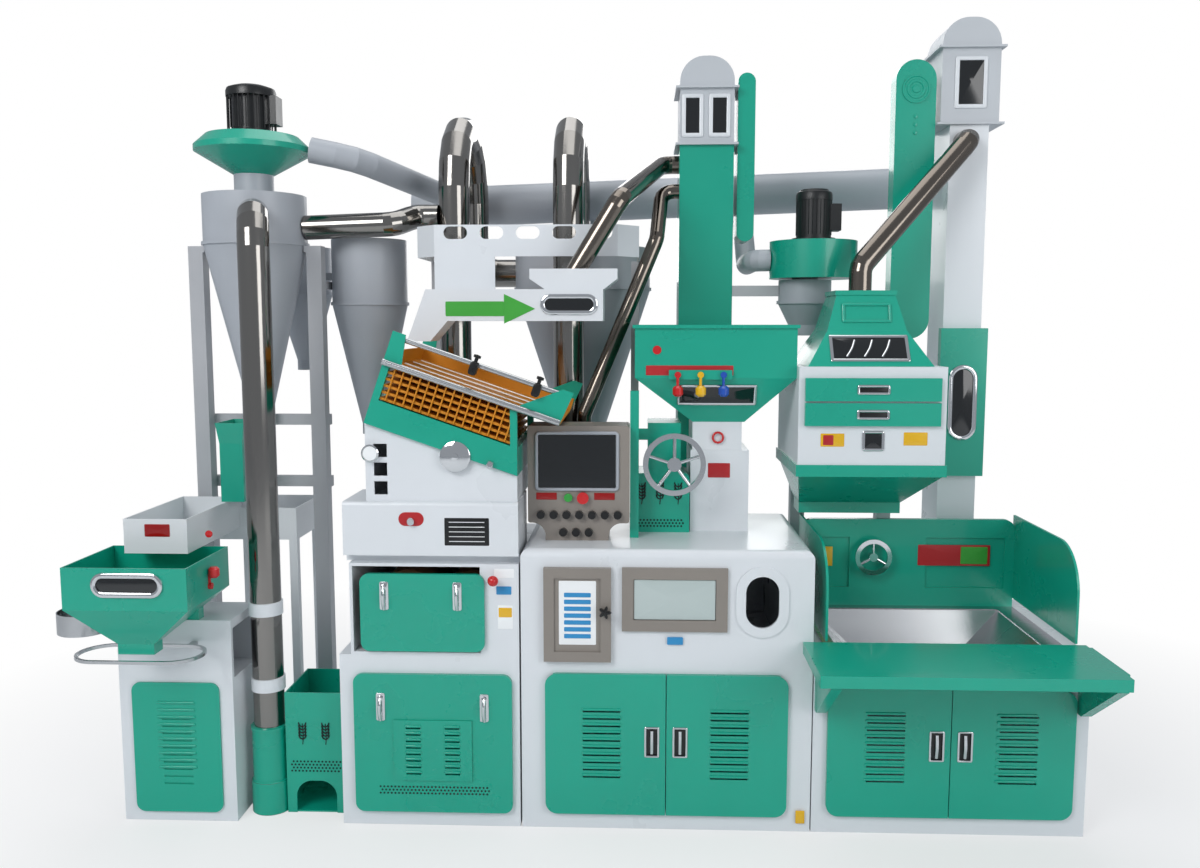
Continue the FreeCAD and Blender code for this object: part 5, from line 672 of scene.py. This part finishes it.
@dataclass
class Separator:
    """The swinging paddy separator's grid, deck strips, clamps and dial."""

    body: str = "separator"
    corner: tuple[float, float, float] = (-0.989, -0.345, 1.364)
    slope: tuple[float, float] = (0.9455, 0.3256)

    def spot(self, along: float, across: float, up: float) -> tuple[float, float, float]:
        """A place given along the tilted case, across it and up from its floor."""
        level, steep = self.slope
        x, y, z = self.corner
        return (x + along * level + up * steep, y + across, z - along * steep + up * level)

    def dial(self) -> None:
        """The chromed angle dial and the clamping knob on the case's side."""
        shape = Shape()
        turned(shape, (-0.690, -0.3453, 1.255),
               [(0.05, 0), (0.05, 0.006), (0.042, 0.010), (0.012, 0.012), (0.012, 0.022), (0, 0.024)],
               sides=36)
        turned(shape, (-0.575, -0.3453, 1.232), [(0.012, 0), (0.012, 0.014), (0.009, 0.018), (0, 0.018)])
        shape.build("angle_dial", CHROME, self.body)

    def grid(self) -> None:
        """The upright dividers across the decks' open front, evenly spaced along the slope."""
        shape = Shape()
        for index in range(15):
            plate(shape, self.spot(0.045 + index * 0.0292, 0.0068, 0.145), (0.005, 0.108), 0.006, 0.002,
                  Facing.DECK_FRONT)
        shape.build("deck_dividers", AMBER, self.body)

    def strips(self) -> None:
        """Three pale guide strips along the top tray."""
        shape = Shape()
        for across in (0.14, 0.27, 0.40):
            plate(shape, self.spot(0.30, across, 0.2125), (0.52, 0.010), 0.003, 0.002, Facing.DECK)
        shape.build("tray_strips", PLATE_PALE, self.body)

    def clamps(self) -> None:
        """Black sensor clamps on the tray's front rod: a split block with a thumb screw each."""
        shape = Shape()
        for along in (0.286, 0.500):
            at = self.spot(along, 0.004, 0.287)
            plate(shape, at, (0.026, 0.044), 0.030, 0.008, Facing.DECK_FRONT, 0.004)
            turned(shape, self.spot(along, -0.008, 0.309),
                   [(0.006, 0), (0.006, 0.012), (0.012, 0.014), (0.012, 0.022), (0, 0.024)],
                   Facing.DECK, 12)
        shape.build("sensor_clamps", BLACK, self.body)


@dataclass
class Tower:
    """The elevators' head windows, the guards' vents and the motors' fins."""

    fin: float = 0.0025

    def head_windows(self) -> None:
        """Framed panes on the fronts of both elevator heads."""
        rims, panes = Shape(), Shape()
        for at, size in (((0.105, 0.3580, 2.467), (0.082, 0.16)), ((0.207, 0.3580, 2.467), (0.082, 0.16)),
                         ((1.14, 0.3580, 2.58), (0.12, 0.19))):
            surround(rims, at, size, 0.016, 0.006, 0.008)
            plate(panes, at, (size[0] - 0.026, size[1] - 0.026), 0.002, 0.004)
        rims.build("head_window_frames", WHITE)
        panes.build("head_window_panes", SMOKED)

    def fins(self) -> None:
        """Cooling fins round both motors: thin upright ribs in a ring, and a domed cowl on top."""
        shape = Shape()
        for x, y, low, high, radius in ((-1.506, 0.150, 2.385, 2.50, 0.084),
                                        (0.570, 0.370, 2.02, 2.15, 0.065)):
            for index in range(28):
                angle = index * 2 * math.pi / 28
                foot = (x + radius * math.cos(angle), y + radius * math.sin(angle))
                run(shape, [(foot[0], foot[1], low), (foot[0], foot[1], (low + high) / 2),
                            (foot[0], foot[1], high)],
                    self.fin, 3, 4)
            turned(shape, (x, y, high), [(radius + 0.004, 0), (radius + 0.004, 0.02), (radius, 0.03),
                                         (radius * 0.8, 0.036), (0, 0.038)],
                   Facing.TOP, 32)
        shape.build("motor_fins", MOTOR)

    def clamps(self) -> None:
        """White bands that clamp the long riser, and the green sleeves of its socket and foot."""
        shape = Shape()
        for low in (0.430, 0.695):
            turned(shape, (-1.370, -0.243, low),
                   [(0.0525, 0), (0.057, 0.001), (0.057, 0.045), (0.0525, 0.046)], Facing.TOP, 32)
        shape.build("riser_clamps", WHITE)
        shape = Shape()
        turned(shape, (-1.370, -0.243, 0.001),
               [(0.0665, 0), (0.0665, 0.11), (0.062, 0.113), (0.0606, 0.114), (0.0606, 0.292),
                                                (0.064, 0.293), (0.064, 0.303), (0.0525, 0.305)],
                                                Facing.TOP, 40)
        shape.build("riser_socket", GREEN)

    def vent(self) -> None:
        """The round grille high on the right belt guard: rings that rise and fall outwards."""
        shape = Shape()
        rings = [(0.052, 0), (0.052, 0.004), (0.046, 0.004), (0.044, 0.001), (0.036, 0.001),
                 (0.034, 0.004), (0.026, 0.004),
                 (0.024, 0.001), (0.016, 0.001), (0.014, 0.004), (0, 0.004)]
        turned(shape, (0.941, 0.3680, 2.56), rings, sides=32)
        for drop in (0.10, 0.13, 0.16):
            turned(shape, (0.941, 0.3680, 2.56 - drop), [(0.007, 0), (0.007, 0.003), (0, 0.004)], sides=12)
        shape.build("guard_grille", GREEN)


@dataclass
class Grader:
    """The grader's windows, recessed pulls and pressed fields."""

    front: float = -0.1503

    def pulls(self) -> None:
        """Chromed recessed pulls on the drawers: a framed hollow whose dark mouth is a thin black sheet, painted
        shade.
        """
        for body, z in (("drawer_upper", 1.464), ("drawer_lower", 1.380)):
            shape = Shape()
            surround(shape, (0.694, -0.1663, z), (0.11, 0.034), 0.009, 0.005, 0.008)
            shape.build(f"pull_{body}", CHROME, body)
            shape = Shape()
            # The mouth: a thin black sheet inside the frame, painted shade of the hollow.
            plate(shape, (0.694, -0.1663, z), (0.094, 0.018), 0.0012, 0.004)
            shape.build(f"pull_mouth_{body}", BLACK, body)

    def windows(self) -> None:
        """The hood's two sloping windows and the square sight glass under the drawers."""
        rims, panes = Shape(), Shape()
        surround(rims, (0.70, self.front, 1.290), (0.075, 0.07), 0.010, 0.005, 0.008)
        plate(panes, (0.70, self.front, 1.290), (0.058, 0.052), 0.0015, 0.004)
        surround(rims, (0.695, -0.0753, 1.600), (0.27, 0.108), 0.012, 0.005, 0.006, Facing.HOOD)
        plate(panes, (0.695, -0.0753, 1.600), (0.25, 0.088), 0.0015, 0.004, Facing.HOOD)
        for x in (0.635, 0.695, 0.755):
            run(rims, [(x - 0.02, -0.0985, 1.572), (x, -0.0800, 1.600), (x + 0.012, -0.0610, 1.628)],
                0.004, 8, 8)
        shape = Shape()
        surround(shape, (0.695, -0.0189, 1.722), (0.17, 0.07), 0.010, 0.005, 0.006, Facing.CROWN)
        shape.build("hood_frame", GREEN)
        rims.build("grader_window_rims", CHROME)
        panes.build("grader_window_panes", SMOKED)


def dress_frame() -> None:
    """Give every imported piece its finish."""
    for finish, names in DRESS.items():
        for name in names.split():
            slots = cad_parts[name].data.materials
            slots.clear()
            slots.append(finish.material())


# Each lamp's name, place in metres, width in metres and power in watts; all point at one spot.
LAMPS = (
    ("key", (-3.2, -4.6, 4.6), 2.6, 175),
    ("fill", (4.0, -4.2, 2.6), 3.0, 85),
    ("top", (0.0, 1.0, 6.0), 4.0, 85),
    ("rear", (0.5, 6.0, 3.5), 3.0, 70),
)
LAMP_AIM = (-0.3, 0.1, 1.3)
# The operator's view: lens and sensor in millimetres, place in metres, angles in degrees.
LENS_MM, SENSOR_MM = 30.9, 36.0
EYE = (-0.094, -3.65, 1.684)
LOOK_DOWN, LOOK_LEFT = 6.1, 2.16


def pale_floor() -> bpy.types.Material:
    """A matt pale floor, white by itself to the camera: partly near the machine, fully a few metres away."""
    made = bpy.data.materials.new("studio_floor")
    made.use_nodes = True
    tree = made.node_tree
    tree.nodes.clear()
    place = add(tree, "ShaderNodeTexCoord")
    path = add(tree, "ShaderNodeLightPath")
    away = add(tree, "ShaderNodeVectorMath", {"operation": "LENGTH"})
    tree.links.new(place.outputs["Object"], away.inputs[0])
    fade = add(tree, "ShaderNodeMapRange", {"From Min": 1.7, "From Max": 3.4, "To Min": 0.55,
                                            "To Max": 1.0})
    tree.links.new(away.outputs["Value"], fade.inputs["Value"])
    share = add(tree, "ShaderNodeMath", {"operation": "MULTIPLY"})
    tree.links.new(path.outputs["Is Camera Ray"], share.inputs[0])
    tree.links.new(fade.outputs["Result"], share.inputs[1])
    matt = add(tree, "ShaderNodeBsdfDiffuse", {"Color": linear("E6E8EA")})
    clear = add(tree, "ShaderNodeEmission", {"Color": (1, 1, 1, 1), "Strength": 1.0})
    mix = add(tree, "ShaderNodeMixShader")
    tree.links.new(share.outputs["Value"], mix.inputs[0])
    tree.links.new(matt.outputs["BSDF"], mix.inputs[1])
    tree.links.new(clear.outputs["Emission"], mix.inputs[2])
    add(tree, "ShaderNodeOutputMaterial", None, Surface=mix.outputs[0])
    return made


def studio() -> None:
    """A pale floor, three soft lamps, a pale surround and the operator's view."""
    scene = bpy.context.scene
    mesh = bpy.data.meshes.new("studio_floor")
    mesh.from_pydata([(-14, -8, -0.001), (14, -8, -0.001), (14, 16, -0.001), (-14, 16, -0.001)], [],
                     [(0, 1, 2, 3)])
    floor = bpy.data.objects.new("studio_floor", mesh)
    scene.collection.objects.link(floor)
    mesh.materials.append(pale_floor())
    world = bpy.data.worlds.new("studio")
    scene.world = world
    world.use_nodes = True
    tree = world.node_tree
    tree.nodes.clear()
    path = add(tree, "ShaderNodeLightPath")
    plain = add(tree, "ShaderNodeBackground", {"Color": linear("E4EAF2"), "Strength": 0.46})
    white = add(tree, "ShaderNodeBackground", {"Color": (1, 1, 1, 1), "Strength": 1.0})
    mix = add(tree, "ShaderNodeMixShader")
    tree.links.new(path.outputs["Is Camera Ray"], mix.inputs[0])
    tree.links.new(plain.outputs[0], mix.inputs[1])
    tree.links.new(white.outputs[0], mix.inputs[2])
    add(tree, "ShaderNodeOutputWorld", None, Surface=mix.outputs[0])
    for name, at, size, power in LAMPS:
        lamp = bpy.data.lights.new(name, "AREA")
        lamp.size, lamp.energy = size, power
        made = bpy.data.objects.new(name, lamp)
        made.location = at
        aim = np.asarray(LAMP_AIM) - np.asarray(at)
        made.rotation_euler = (math.acos(-aim[2] / np.linalg.norm(aim)), 0, math.atan2(-aim[0], aim[1]))
        scene.collection.objects.link(made)
    camera = bpy.data.cameras.new("operator_view")
    camera.lens, camera.sensor_width = LENS_MM, SENSOR_MM
    eye = bpy.data.objects.new("operator_view", camera)
    eye.location = EYE
    eye.rotation_euler = (math.radians(90 - LOOK_DOWN), 0, math.radians(LOOK_LEFT))
    scene.collection.objects.link(eye)
    scene.camera = eye
    scene.view_settings.view_transform = "Standard"


def main() -> None:
    """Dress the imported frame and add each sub-assembly's fittings in order."""
    logging.basicConfig(level=logging.INFO)
    dress_frame()
    studio()
    cabinets = Cabinets()
    separator, tower, grader = Separator(), Tower(), Grader()
    for step in (cabinets.latches, cabinets.louvres, cabinets.pulls, cabinets.perforations, cabinets.ears,
                 cabinets.badges,
                 cabinets.arrow, cabinets.dial, cabinets.gauge, cabinets.chart_knob, cabinets.windows,
                 separator.dial,
                 separator.grid, separator.strips, separator.clamps, tower.head_windows, tower.fins,
                 tower.clamps, tower.vent,
                 grader.pulls, grader.windows):
        step()


if __name__ == "__main__":
    main()
